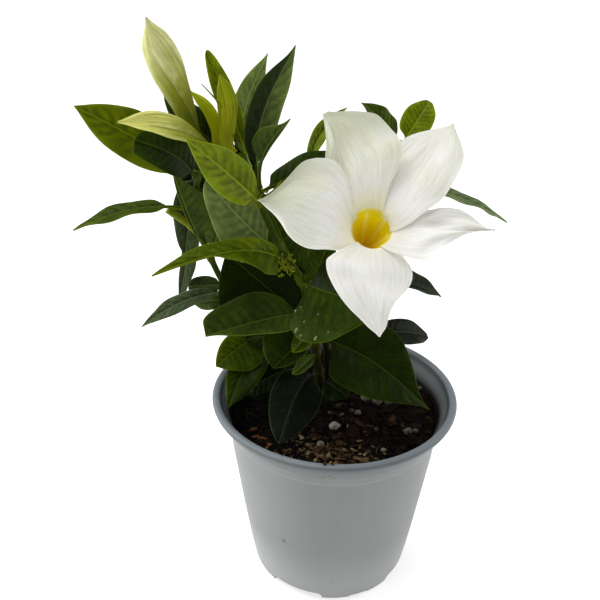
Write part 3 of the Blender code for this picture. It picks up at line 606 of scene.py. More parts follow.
def soil_finish():
    """Dark moist peat."""
    f = Finish("soil", Specular_IOR_Level=0.08)
    grain = f.noise(700, 6, 0.7)
    colour = f.mix(f.step(grain, 0.35, 0.7), (0.0015, 0.001, 0.0007), (0.010, 0.006, 0.003))
    damp = f.step(f.noise(120, 3), 0.4, 0.65, 0.55, 0.95)
    return f.done(colour, damp, grain, 0.002)


def bit_finish(name, dark, light, odd, roughness=0.8, painted_shade_left=0.0):
    """Loose bits that differ by their tint, and that may be darkened at the left by painted shade from the
    leaves.
    """
    f = Finish(name, Specular_IOR_Level=0.08)
    tint, grain = f.attribute("tint"), f.noise(1100, 4, 0.65)
    colour = f.mix(f.step(tint, 0.86, 0.93) * 0.9, f.mix(tint, dark, light), odd)
    # Painted shade over the bits at the left, where the leaves hang over them.
    damp = f.step(f.coordinate("X"), -0.006, -0.022, 0.0, painted_shade_left)
    colour = f.mix(grain * 0.5, f.mix(damp, colour, BLACK), BLACK)
    return f.done(colour, roughness, grain, 0.0006)


def floor_finish():
    """Smooth pale paper with a glow of its own, so that it stays white round the pot."""
    f = Finish("floor", Specular_IOR_Level=0.1, Emission_Strength=0.7,
               Emission_Color=(1, 1, 1))
    return f.done(f.mix(f.noise(40, 3), (0.58, 0.58, 0.58), (0.62, 0.62, 0.62)), 0.9)


# ---- shaping -------------------------------------------------------------------------

def as_object(bm, name):
    """A new object in the scene from a bmesh in millimetres."""
    bmesh.ops.scale(bm, vec=(MM, MM, MM), verts=bm.verts)
    mesh = bpy.data.meshes.new(name)
    bm.to_mesh(mesh)
    bm.free()
    made = bpy.data.objects.new(name, mesh)
    bpy.context.scene.collection.objects.link(made)
    return made


def add_piece(bm, name, finishes, replaced=(), smooth_angle=48):
    """Turn a bmesh in millimetres into a finished piece of the object."""
    bmesh.ops.remove_doubles(bm, verts=bm.verts, dist=SAME_POINT)
    bmesh.ops.recalc_face_normals(bm, faces=bm.faces)
    if bm.calc_volume(signed=True) < 0:
        bmesh.ops.reverse_faces(bm, faces=bm.faces)
    made = as_object(bm, name)
    made.data.shade_smooth()
    made.data.set_sharp_from_angle(angle=radians(smooth_angle))
    for material in finishes:
        made.data.materials.append(material)
    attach(made, "root")
    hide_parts(*replaced)
    return made


def pair(value):
    """A value for the left half and one for the right, which may be the same."""
    return value if isinstance(value, tuple) else (value, value)


def blend(low, high, value):
    """0 below low, 1 above high, smooth between."""
    share = min(1, max(0, (value - low) / (high - low)))
    return share * share * (3 - 2 * share)


def hump(distance, width):
    """1 at no distance, falling off like a bell."""
    return exp(-(distance / width) ** 2)


def on_curve(a, b, c, d, t):
    """What is a share t of the way from b to c, smoothly between a and d."""
    return 0.5 * (2 * b + (c - a) * t + (2 * a - 5 * b + 4 * c - d) * t * t
                  + (3 * b - a - 3 * c + d) * t ** 3)


def smooth_route(points, gap=STEM_POINT_GAP):
    """Points about gap apart on a smooth curve through the given ones."""
    hand = [Vector(p) for p in (points[0], *points, points[-1])]
    route = []
    for a, b, c, d in zip(hand, hand[1:], hand[2:], hand[3:]):
        count = max(1, round((c - b).length / gap))
        route += [on_curve(a, b, c, d, n / count) for n in range(count)]
    return route + [hand[-1]]


def along_route(route, share):
    """The point a share of the way along a route, and the way the route runs there."""
    lengths = [(b - a).length for a, b in zip(route, route[1:])]
    left = share * sum(lengths)
    for a, b, length in zip(route, route[1:], lengths):
        if left <= length:
            return a.lerp(b, left / length), (b - a).normalized()
        left -= length
    return route[-1], (route[-1] - route[-2]).normalized()


def along_values(values, share):
    """The value a share of the way along evenly spaced ones, on a smooth curve."""
    at = min(0.99999, max(0, share)) * (len(values) - 1)
    n = int(at)
    around = (values[min(len(values) - 1, max(0, n + step))] for step in (-1, 0, 1, 2))
    return on_curve(*around, at - n)


def square_to(ahead, way):
    """The part of a way that is square to ahead, one long."""
    return (way - ahead * way.dot(ahead)).normalized()


def turned(profile, steps):
    """A bmesh turned from (radius, height) points, all round Z."""
    bm = bmesh.new()
    points = [bm.verts.new((r, 0, z)) for r, z in profile]
    edges = [bm.edges.new(ends) for ends in zip(points, points[1:])]
    bmesh.ops.spin(bm, geom=points + edges, cent=(0, 0, 0), axis=(0, 0, 1),
                   angle=2 * pi, steps=steps, use_merge=True)
    bmesh.ops.remove_doubles(bm, verts=bm.verts, dist=SAME_POINT)
    return bm


def rounded(points, radius=CORNER_ROUND, steps=4):
    """An outline with each of its corners drawn as a small curve."""
    outline = [Vector(points[0])]
    for before, corner, after in zip(points, points[1:], points[2:]):
        before, corner, after = Vector(before), Vector(corner), Vector(after)
        start, end = (corner.lerp(other, min(0.45, radius / (other - corner).length))
                      for other in (before, after))
        for n in range(steps + 1):
            t = n / steps
            outline.append(start.lerp(corner, t).lerp(corner.lerp(end, t), t))
    return outline + [Vector(points[-1])]


def labels(bm, *names):
    """Layers that hold a value for each point, which the finishes read."""
    return [bm.verts.layers.float.new(name) for name in names]


def rod(route, radius_at, across, sides, rings, twist=0.0):
    """A bmesh of a rod along a route; across is never along it.

    radius_at(share, turn) gives its radius a share of the way along and a turn of the
    way round. The rod's lines wind round it by twist turns.
    """
    bm = bmesh.new()
    bmesh.ops.create_cone(bm, cap_ends=True, segments=sides, radius1=1, radius2=1, depth=1)
    lengthways = [e for e in bm.edges if abs(e.verts[0].co.z - e.verts[1].co.z) > 0.5]
    bmesh.ops.subdivide_edges(bm, edges=lengthways, cuts=rings)
    along, turned_by = labels(bm, "along", "turn")
    frames = {}
    for vert in bm.verts:
        share = round(min(1, max(0, vert.co.z + 0.5)), 5)
        if share not in frames:
            centre, ahead = along_route(route, share)
            right = ahead.cross(Vector(across)).normalized()
            frames[share] = centre, right, right.cross(ahead)
        centre, right, front = frames[share]
        turn = atan2(vert.co.y, vert.co.x) / (2 * pi) % 1
        vert[along], vert[turned_by] = share, turn
        angle = 2 * pi * (turn + twist * share)
        out = right * cos(angle) + front * sin(angle)
        vert.co = centre + out * radius_at(share, turn)
    return bm


def slab(across_steps, along_steps, place, values):
    """A bmesh of a thin closed slab, each point put by place(across, along, side).

    across runs from -1 to 1, along from 0 to 1, and side is 0 underneath and 1 on top.
    values(across, along) names the values that its finishes read. The underside and
    the edge take the second finish.
    """
    bm = bmesh.new()
    bmesh.ops.create_grid(bm, x_segments=across_steps, y_segments=along_steps, size=1)
    raised = bmesh.ops.extrude_face_region(bm, geom=bm.faces[:])["geom"]
    raised = [part for part in raised if isinstance(part, bmesh.types.BMVert)]
    bmesh.ops.translate(bm, verts=raised, vec=(0, 0, 1))
    for face in bm.faces:
        face.material_index = 0 if min(vert.co.z for vert in face.verts) > 0.5 else 1
    names = list(values(0, 0))
    layers = dict(zip(names, labels(bm, *names)))
    for vert in bm.verts:
        across, along, side = vert.co.x, (vert.co.y + 1) / 2, round(vert.co.z)
        for name, value in values(across, along).items():
            vert[layers[name]] = value
        vert.co = place(across, along, side)
    return bm


def join(bm, other):
    """Add another bmesh's faces and values to bm, and free it."""
    mesh = bpy.data.meshes.new("joined")
    other.to_mesh(mesh)
    other.free()
    bm.from_mesh(mesh)
    bpy.data.meshes.remove(mesh)


# ---- the pot -------------------------------------------------------------------------

def wall_radius(height):
    """Outer radius of the pot's plain wall at a height, from base to neck."""
    share = height / (POT_HEIGHT - LIP_DEPTH)
    return BASE_RADIUS + (NECK_RADIUS - BASE_RADIUS) * share ** 0.92


def pot_profile():
    """The wall's outline as (radius, height) points: up the outside, then down inside."""
    neck = POT_HEIGHT - LIP_DEPTH
    step = POT_HEIGHT - STEP_DEPTH
    outside = [(0, 0), (BASE_RADIUS - 2, 0), (BASE_RADIUS, 1.5)]
    outside += [(wall_radius(z), z) for z in (15, 30, 45, 60, 72)]
    outside += [(wall_radius(step) - STEP_OUT, step - 1), (wall_radius(step), step),
                (NECK_RADIUS, neck)]
    lip = [(RIM_RADIUS - 2.4, POT_HEIGHT - 5.8), (RIM_RADIUS - 0.7, POT_HEIGHT - 3.4),
           (RIM_RADIUS, POT_HEIGHT - 1.7), (RIM_RADIUS - 0.4, POT_HEIGHT - 0.6),
           (RIM_RADIUS - 1.5, POT_HEIGHT), (RIM_RADIUS - LIP_WIDTH + 0.9, POT_HEIGHT - 0.2),
           (RIM_RADIUS - LIP_WIDTH, POT_HEIGHT - 1.2),
           (RIM_RADIUS - LIP_WIDTH - 1.0, POT_HEIGHT - 4.2)]
    inside = [(NECK_RADIUS - WALL, neck + 0.5), (wall_radius(step) - WALL - STEP_OUT, step),
              (wall_radius(30) - WALL, 30), (BASE_RADIUS - WALL, WALL + 1.5),
              (BASE_RADIUS - WALL - 1.5, WALL), (0, WALL)]
    return rounded(outside + lip + inside)


def arch(width, height, corner, first_turn, turn):
    """A bmesh that cuts one arch or notch out of the pot's foot."""
    bm = bmesh.new()
    bmesh.ops.create_cube(bm, size=1)
    crown_edges = [e for e in bm.edges if all(v.co.z > 0 for v in e.verts)
                   and abs(e.verts[0].co.x - e.verts[1].co.x) > 0.5]
    bmesh.ops.scale(bm, vec=(2 * ARCH_REACH, width, 2 * height), verts=bm.verts)
    bmesh.ops.bevel(bm, geom=crown_edges, offset=corner, offset_type="OFFSET",
                    segments=6, profile=0.5, affect="EDGES", material=-1)
    placed = Matrix.Rotation(radians(turn + first_turn - 90), 4, "Z")
    placed = placed @ Matrix.Translation((BASE_RADIUS, 0, 0))
    bmesh.ops.transform(bm, matrix=placed, verts=bm.verts)
    return bm


def arches():
    """The blocks that cut the arches and notches out of the pot's foot, as one object."""
    joined = bmesh.new()
    for n in range(ARCHES):
        turn = 360 * n / ARCHES
        join(joined, arch(*ARCH, turn))
        join(joined, arch(*NOTCH, turn))
    bmesh.ops.recalc_face_normals(joined, faces=joined.faces)
    return as_object(joined, "arches")


def inside_radius(height):
    """A radius between the pot's inner and outer faces at a height."""
    neck = POT_HEIGHT - LIP_DEPTH
    if height < neck:
        return wall_radius(height) - WALL / 2
    flare = RIM_RADIUS - LIP_WIDTH + 0.6 - (NECK_RADIUS - WALL / 2)
    return NECK_RADIUS - WALL / 2 + flare * (height - neck) / LIP_DEPTH


def make_pot():
    bm = turned(pot_profile(), POT_STEPS)
    inside, = labels(bm, "inside")
    for vert in bm.verts:
        deep_enough = WALL / 2 < vert.co.z < POT_HEIGHT - 0.6
        vert[inside] = deep_enough and hypot(vert.co.x, vert.co.y) < inside_radius(vert.co.z)
    pot = add_piece(bm, "nursery_pot", [pot_finish()], ["pot"], POT_CREASE)
    cut = pot.modifiers.new("arches", "BOOLEAN")
    cut.operation = "DIFFERENCE"
    cut.object = arches()
    bpy.context.view_layer.update()
    shaped = pot.evaluated_get(bpy.context.evaluated_depsgraph_get())
    mesh = bpy.data.meshes.new_from_object(shaped)
    bpy.data.objects.remove(cut.object)
    pot.modifiers.clear()
    pot.data = mesh
    mesh.set_sharp_from_angle(angle=radians(POT_CREASE))


# ---- the soil ------------------------------------------------------------------------

def soil_height(x, y):
    """The height of the soil's rough surface over a point."""
    out = min(1, hypot(x, y) / SOIL_EDGE)
    heap = SOIL_TOP + SOIL_HEAP * sin(pi / 2 * (1 - out))
    rough = (noise.fractal(Vector((x, y, 3)) * 0.12, 1.0, 2.0, 4)
             + 0.5 * noise.noise(Vector((x, y, 9)) * 0.9))
    return heap + SOIL_ROUGHNESS * rough * (1 - 0.7 * blend(0.93, 1, out))


def make_soil():
    low = WALL + 0.3
    foot = [(0, low), (BASE_RADIUS - WALL - 2, low), (wall_radius(30) - WALL - 0.3, 30),
            (wall_radius(SOIL_TOP - 9) - WALL - STEP_OUT - 0.3, SOIL_TOP - 9)]
    top = [(SOIL_EDGE * (1 - n / SOIL_RINGS), SOIL_TOP) for n in range(SOIL_RINGS + 1)]
    bm = turned(foot + top, SOIL_STEPS)
    for vert in bm.verts:
        if vert.co.z > SOIL_TOP - 0.5:
            vert.co.z = soil_height(vert.co.x, vert.co.y)
    add_piece(bm, "potting_mix", [soil_finish()], ["soil"], 180)


def tinted(bm, tint):
    """The same bmesh, with one tint all over."""
    shade, = labels(bm, "tint")
    for vert in bm.verts:
        vert[shade] = tint
    return bm


def lump(draw, size, subdivisions, jitter, tint):
    """A bmesh of an irregular lump: size is its three half lengths."""
    bm = bmesh.new()
    bmesh.ops.create_icosphere(bm, subdivisions=subdivisions, radius=1)
    shift = Vector([draw.uniform(0, 99) for _ in range(3)])
    for vert in bm.verts:
        vert.co *= 1 + jitter * noise.noise(vert.co * 1.7 + shift)
    bmesh.ops.scale(bm, vec=size, verts=bm.verts)
    lean, tilt = (Matrix.Rotation(draw.uniform(-0.45, 0.45), 4, axis) for axis in "XY")
    bmesh.ops.transform(bm, matrix=lean @ tilt, verts=bm.verts)
    return tinted(bm, tint)


def bark_chip(draw):
    length = draw.uniform(1.2, 4.2) * draw.uniform(0.7, 1.25)
    size = (length, length * draw.uniform(0.3, 0.65), draw.uniform(0.4, 1.1))
    return lump(draw, size, 1, 0.75, draw.random())


def crumb(draw):
    size = draw.uniform(0.5, 1.3)
    return lump(draw, (size, size * 0.85, size * 0.7), 1, 0.6, draw.random() * 0.85)


def fibre(draw, shortest=3, longest=11):
    length = draw.uniform(shortest, longest)
    bend = draw.uniform(-0.5, 0.5) * length
    route = smooth_route([(0, 0, 0.2), (length * 0.35, bend * 0.6, draw.uniform(0.3, 1.6)),
                          (length * 0.7, bend * 0.8, draw.uniform(0.3, 1.8)),
                          (length, bend * 0.2, 0.1)], 2)
    thick = draw.uniform(0.12, 0.3)
    bm = rod(route, lambda share, turn: thick * (1 - 0.6 * share), UP, 4, 5)
    return tinted(bm, draw.random())


def lay(draw, bit, x, y, z):
    """Lay a bit at a point, turned any way round."""
    lie = Matrix.Translation((x, y, z)) @ Matrix.Rotation(draw.uniform(0, 2 * pi), 4, "Z")
    bmesh.ops.transform(bit, matrix=lie, verts=bit.verts)


def scatter(draw, count, reach, make, raised):
    """A bmesh of count bits that make(draw) gives, strewn on the soil out to reach."""
    strewn = bmesh.new()
    labels(strewn, "tint")
    for _ in range(count):
        out, angle = reach * sqrt(draw.random()), draw.uniform(0, 2 * pi)
        x, y = out * cos(angle), out * sin(angle)
        bit = make(draw)
        lay(draw, bit, x, y, soil_height(x, y) + raised)
        join(strewn, bit)
    return strewn


# The perlite that shows: where each grain lies, its size, and how clean it is.
PERLITE = [(0, -18, 2.4, 0.85), (7, -17, 1.3, 0.45), (4, -7, 1.1, 0.25), (12, -5, 1.7, 0.3),
           (9, -3, 1.2, 0.2), (-7, -29, 2.0, 0.5), (20, -18, 1.1, 0.2), (35, -19, 2.0, 0.35),
           (39, -17, 1.5, 0.3), (22, -33, 1.3, 0.6), (17, 6, 2.8, 0.35), (22, 4, 3.0, 0.3),
           (28, 3, 2.0, 0.25), (44, 12, 1.5, 0.4), (47, 20, 1.3, 0.3), (-2, -5, 1.0, 0.3)]
# Orange bark at the left: where each chip lies, and its size.
ORANGE_BARK = [(-37, -23, 2.6), (-34, -26, 2.0), (-39, -19, 2.2), (-31, -30, 1.6)]
# Straw strewn at the front and over the lip: each heap's middle, spread and count.
STRAW_HEAPS = [((-8, -34), (10, 6), 200), ((4, -41), (11, 4), 110),
               ((-3, -51), (3.0, 3.8), 190), ((-22, -49), (1.6, 2.5), 40)]


def lumps(draw, spots, shape, jitter, raised):
    """A bmesh of lumps laid on the soil; one without a tint of its own is given any."""
    laid = bmesh.new()
    labels(laid, "tint")
    for x, y, size, *own in spots:
        tint = own[0] if own else draw.random() * 0.8
        bit = lump(draw, [size * share for share in shape], 2, jitter, tint)
        height = soil_height(x, y) + size * raised
        bmesh.ops.translate(bit, vec=(x, y, height), verts=bit.verts)
        join(laid, bit)
    return laid


def ground_height(x, y):
    """The height of what lies under a point: the soil, the pot's inner wall or its lip."""
    out = hypot(x, y)
    if out < SOIL_EDGE:
        return soil_height(x, y)
    share = min(1, (out - SOIL_EDGE) / (RIM_RADIUS - 2.5 - SOIL_EDGE))
    return SOIL_TOP + (POT_HEIGHT - SOIL_TOP) * share


def straw_litter(draw):
    """A bmesh of straw and crumbs in heaps at the front of the pot."""
    litter = bmesh.new()
    labels(litter, "tint")
    for middle, spread, count in STRAW_HEAPS:
        for n in range(count):
            x, y = (draw.gauss(at, wide) for at, wide in zip(middle, spread))
            if hypot(x, y) > RIM_RADIUS - 2.0:
                continue
            bit = (fibre(draw, 2, 6), crumb(draw), bark_chip(draw))[n % 3]
            bmesh.ops.scale(bit, vec=(0.62, 0.62, 0.7), verts=bit.verts)
            lay(draw, bit, x, y, ground_height(x, y) + 0.4)
            join(litter, bit)
    return litter


def make_loose_bits():
    draw = random.Random(7)
    bark = bit_finish("bark", (0.002, 0.001, 0.0006), (0.026, 0.011, 0.005),
                      (0.065, 0.032, 0.012), painted_shade_left=0.8)
    straw = bit_finish("straw", (0.014, 0.008, 0.003), (0.07, 0.045, 0.018),
                       (0.11, 0.08, 0.04), 0.7)
    pale_straw = bit_finish("pale_straw", (0.05, 0.028, 0.012), (0.32, 0.21, 0.10),
                            (0.45, 0.40, 0.22), 0.7)
    white = bit_finish("perlite", (0.01, 0.009, 0.007), (0.62, 0.56, 0.47), (0.7, 0.64, 0.54))
    rust = bit_finish("orange_bark", (0.10, 0.035, 0.010), (0.30, 0.13, 0.04), (0.3, 0.2, 0.1))

    def add(bits, name, look, smooth_angle=60):
        add_piece(bits, name, [look], (), smooth_angle)

    add(scatter(draw, BARK_CHIPS, LOOSE_REACH, bark_chip, 0.2), "bark_chips", bark, 30)
    add(scatter(draw, CRUMBS, LOOSE_REACH, crumb, 0.1), "peat_crumbs", bark)
    add(scatter(draw, FIBRES, LOOSE_REACH - 4, fibre, 0.3), "loose_fibres", straw)
    add(straw_litter(draw), "straw_litter", pale_straw)
    grains = [(draw.uniform(-40, 40), draw.uniform(10, 44), draw.uniform(0.7, 1.4),
               draw.uniform(0.2, 0.6)) for _ in range(PERLITE_GRAINS)]
    add(lumps(draw, PERLITE + grains, (1, 0.8, 0.85), 0.5, 0.5), "perlite", white)
    add(lumps(draw, ORANGE_BARK, (1, 0.5, 0.4), 0.7, 0.3), "orange_bark", rust, 30)


# ---- stems ---------------------------------------------------------------------------

STEM_ROUTES = {name: smooth_route(row[0]) for name, row in STEMS.items()}


def at_height(route, height):
    """The point of a stem at a height, the share of the way to it, and the way on."""
    rises = [b.z - a.z for a, b in zip(route, route[1:])]
    for n, (a, rise) in enumerate(zip(route, rises)):
        if a.z + rise >= height:
            share = (height - a.z) / rise
            return a.lerp(route[n + 1], share), (n + share) / len(rises), (route[n + 1] - a)
    return route[-1], 1.0, route[-1] - route[-2]


def stem_seat(stem, height, target, radius):
    """Where a stalk of a radius starts: on a stem's bark, on the side of its target."""
    centre, share, ahead = at_height(STEM_ROUTES[stem], height)
    ahead.normalize()
    foot, top = STEMS[stem][1:]
    away = Vector(target) - centre
    out = square_to(ahead, away)
    slant = abs(away.normalized().dot(ahead))
    return centre + out * (foot + (top - foot) * share + STALK_FIT + radius * slant)


def make_stems():
    bark = stem_finish()
    for name, (_, foot, tip) in STEMS.items():
        route = STEM_ROUTES[name]
        length = sum((b - a).length for a, b in zip(route, route[1:]))
        heights = sorted({row[2] for row in LEAVES if row[1] == name})
        if name == "front":
            heights += [row[1] for row in BUDS] + [FLOWER_SEAT]

        def nodes_at(share):
            height = along_route(route, share)[0].z
            return max(hump(height - own, NODE_LENGTH) for own in heights)

        rings = round(length / STEM_RING_GAP)
        swell = {n: nodes_at(n / rings) for n in range(rings + 1)}

        def radius_at(share, turn):
            plain = foot + (tip - foot) * share
            rough = 1 + STEM_ROUGHNESS * noise.noise(Vector((turn * 6, share * length * 0.25, foot)))
            end = 1 - 0.75 * blend(0.992, 1, share)
            return plain * rough * (1 + NODE_SWELL * swell[round(share * rings)]) * end

        bm = rod(route, radius_at, FORWARD, STEM_SIDES, rings)
        (node,), along = labels(bm, "node"), bm.verts.layers.float["along"]
        for vert in bm.verts:
            vert[node] = swell[round(vert[along] * rings)]
        add_piece(bm, f"{name}_stem", [bark], [f"stem_{name}"])


# ---- leaves --------------------------------------------------------------------------

def side_vein(across, along):
    """1 on a side vein, falling to 0 between two of them."""
    beat = (along - VEIN_RAKE * abs(across) ** VEIN_BEND) * VEINS
    beat += 0.5 if across > 0 else 0
    return 0.5 + 0.5 * cos(2 * pi * beat)


class Leaf:
    """A leaf with its stalk, from its stem to its tip."""

    def __init__(self, row, seed):
        (self.name, stem, height, tip, width, facing, self.bow, self.sweep, self.fold,
         tip_draw, light, self.grey) = row
        self.width, self.tip_draw, self.light = pair(width), pair(tip_draw), pair(light)
        self.stalk = OWN_STALKS.get(self.name, STALK_SHARE)
        self.belly = OWN_BELLIES.get(self.name, BELLY)
        self.twist = TWISTS.get(self.name, 0)
        self.base = stem_seat(stem, height, tip, STALK_RADIUS)
        self.chord = Vector(tip) - self.base
        ahead = self.chord.normalized()
        self.up = square_to(ahead, Vector(facing))
        self.right = ahead.cross(self.up)
        draw = random.Random(seed)
        self.waves = [(draw.uniform(1.6, 3.4), draw.uniform(0, 1)) for _ in range(2)]

    def midrib(self, along):
        rise = sin(pi * along ** BOW_SKEW)
        bowed = (self.up * self.bow + self.right * self.sweep) * rise
        return self.base + self.chord * along + bowed

    def frame(self, along):
        """The midrib's point at along, and the ways right and up there."""
        low, high = max(0, along - 0.02), min(1, along + 0.02)
        ahead = (self.midrib(high) - self.midrib(low)).normalized()
        twist = radians(self.twist * blend(0.05, 0.6, along))
        up = Matrix.Rotation(twist, 3, ahead) @ square_to(ahead, self.up)
        return self.midrib(along), ahead.cross(up), up

    def half_width(self, across, along):
        """How far the edge on across's side is from the midrib."""
        if along <= self.stalk:
            return STALK_RADIUS
        side = across > 0
        share = (along - self.stalk) / (1 - self.stalk)
        draw = 0.55 + self.tip_draw[side] * share * share
        outline = max(0, sin(pi * share ** self.belly[side])) ** draw
        body = STALK_RADIUS * (1 - 0.8 * share ** 6)
        return body + (self.width[side] - body) * outline

    def values(self, across, along):
        half = self.half_width(across, along)
        # A leaf's lightness holds painted light and shade, which can differ between its halves.
        left, right = self.light
        return {"across": across, "along": along, "from_rib": abs(across) * half,
                "to_margin": (1 - abs(across)) * half, "grey": self.grey,
                "light": left + (right - left) * blend(-0.12, 0.12, across)}

    def relief(self, across, along, side):
        """How far the blade's surface stands off its flat middle."""
        half = self.half_width(across, along)
        wide = abs(across) * half
        room = blend(0, 6, half)
        valley = half * (sqrt(across * across + 0.012) - 0.11) * sin(radians(self.fold))
        count, start = self.waves[across > 0]
        wave = MARGIN_WAVE * across ** 2 * sin(2 * pi * (count * along + start)) * room
        roll = MARGIN_ROLL * max(0, abs(across) - 0.72) ** 2 * room
        rib = RIB_GROOVE * hump(wide, 0.75) if side else RIB_KEEL * hump(wide, 0.8)
        vein = side_vein(across, along)
        quilt = QUILTING * (1 - vein) - VEIN_DEPTH * vein ** 12
        quilt *= blend(0.4, 1.6, wide) * (1 - abs(across) ** 4) * room
        thick = BLADE_THICKNESS * (1 - 0.45 * across * across)
        return valley + wave - roll - rib + quilt + (side - 0.5) * thick

    def place(self, across, along, side):
        middle, right, up = self.frame(along)
        blade = blend(self.stalk * 0.75, self.stalk + STALK_SHARE * 0.9, along)
        fold = radians(self.fold) * blade
        wide = across * self.half_width(across, along) * cos(fold)
        lift = self.relief(across, along, side)
        turn = across * pi / 2
        round_wide = STALK_RADIUS * sin(turn)
        round_lift = STALK_RADIUS * cos(turn) * (1 if side else -1)
        wide = round_wide + (wide - round_wide) * blade
        lift = round_lift + (lift - round_lift) * blade
        return middle + right * wide + up * lift


# Water on one leaf's upper side: how far across and along it each drop lies, and its size.
WET_LEAF = "leaf_front_06"
DROPS = [(0.62, 0.10, 0.7), (0.80, 0.17, 1.0), (0.55, 0.20, 0.6), (0.90, 0.30, 1.3),
         (0.68, 0.33, 0.7), (0.93, 0.38, 0.8), (0.91, 0.52, 1.2), (0.78, 0.60, 0.6),
         (0.45, 0.42, 0.6)]
DROP_SHAPE = Matrix.Diagonal((1.0, 0.8, 0.45, 1.0))


def make_drops(leaf):
    water = bmesh.new()
    for across, along, size in DROPS:
        spot = leaf.place(across, along, 1)
        _, right, up = leaf.frame(along)
        drop = bmesh.new()
        bmesh.ops.create_icosphere(drop, subdivisions=3, radius=size)
        turn = Matrix((right, up.cross(right), up)).transposed().to_4x4()
        placed = Matrix.Translation(spot) @ turn @ DROP_SHAPE
        bmesh.ops.transform(drop, matrix=placed, verts=drop.verts)
        join(water, drop)
    add_piece(water, "water_drops", [water_finish()])


def make_leaves():
    finishes = [leaf_upper(), leaf_under()]
    for seed, row in enumerate(LEAVES + YOUNG_LEAVES):
        leaf = Leaf(row, seed)
        if leaf.name == WET_LEAF:
            make_drops(leaf)
        bm = slab(LEAF_ACROSS, LEAF_ALONG, leaf.place, leaf.values)
        replaced = [leaf.name] if leaf.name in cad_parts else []
        add_piece(bm, leaf.name.replace("leaf_", "blade_"), finishes, replaced)


# ---- small shoots --------------------------------------------------------------------

# Each shoot: name, its route, its radius at foot and tip, and how ragged its end is.
SHOOTS = [
    ("needle_bract", [(-45, -10, 228), (-49, -12, 240), (-56, -14, 249)], 0.7, 0.2, 0),
    ("side_sprout", [(-34, -14, 203), (-29, -16, 207), (-25.5, -16, 211.5)], 0.8, 0.3, 0),
    ("cut_stub", [(-64.5, 15, 176), (-70, 12, 183), (-77.5, 10, 189.5)], 1.6, 1.65, 0.7),
]
# Each cluster of scales on the front stem: its middle, its reach, and how many.
SCALE_CLUSTERS = [((-35.5, -17, 205), 5.5, 70), ((-24, -14, 174), 6.5, 80)]


def scale_bract(draw, centre, reach):
    """A bmesh of one small pointed scale that stands out from a cluster's middle."""
    out = Vector((draw.gauss(0, 1), draw.gauss(-0.6, 0.6), draw.gauss(0, 1.2))).normalized()
    foot = Vector(centre) + out * reach * draw.uniform(0.1, 0.9)
    tip = foot + out * draw.uniform(0.7, 1.6) + Vector((0, 0, draw.uniform(0, 0.8)))
    thick = draw.uniform(0.3, 0.65)
    across = (1, 0, 0) if abs(out.x) < 0.7 else (0, 0, 1)
    route = smooth_route([foot, foot.lerp(tip, 0.5) + out * 0.3, tip], 1.5)
    return rod(route, lambda share, turn: thick * (1 - share ** 1.6 * 0.9), across, 6, 5)


def make_shoots(green):
    for name, hand, foot, tip, ragged in SHOOTS:
        route = smooth_route(hand, 2.0)
        ahead = (route[-1] - route[-2]).normalized()

        def radius_at(share, turn):
            rough = 1 + 0.12 * noise.noise(Vector((turn * 9, share * 14, foot)))
            return (foot + (tip - foot) * share) * rough

        bm = rod(route, radius_at, (0, 1, 0), 12, 24)
        for vert in bm.verts:
            if (vert.co - route[-1]).length < 2 * tip:
                vert.co += ragged * noise.noise(vert.co * 1.3) * ahead
        add_piece(bm, name, [green])
    draw = random.Random(11)
    for n, (centre, reach, count) in enumerate(SCALE_CLUSTERS, 1):
        cluster = bmesh.new()
        labels(cluster, "along", "turn")
        for _ in range(count):
            join(cluster, scale_bract(draw, centre, reach))
        add_piece(cluster, f"scale_cluster_{n}", [green])


# ---- the flower ----------------------------------------------------------------------

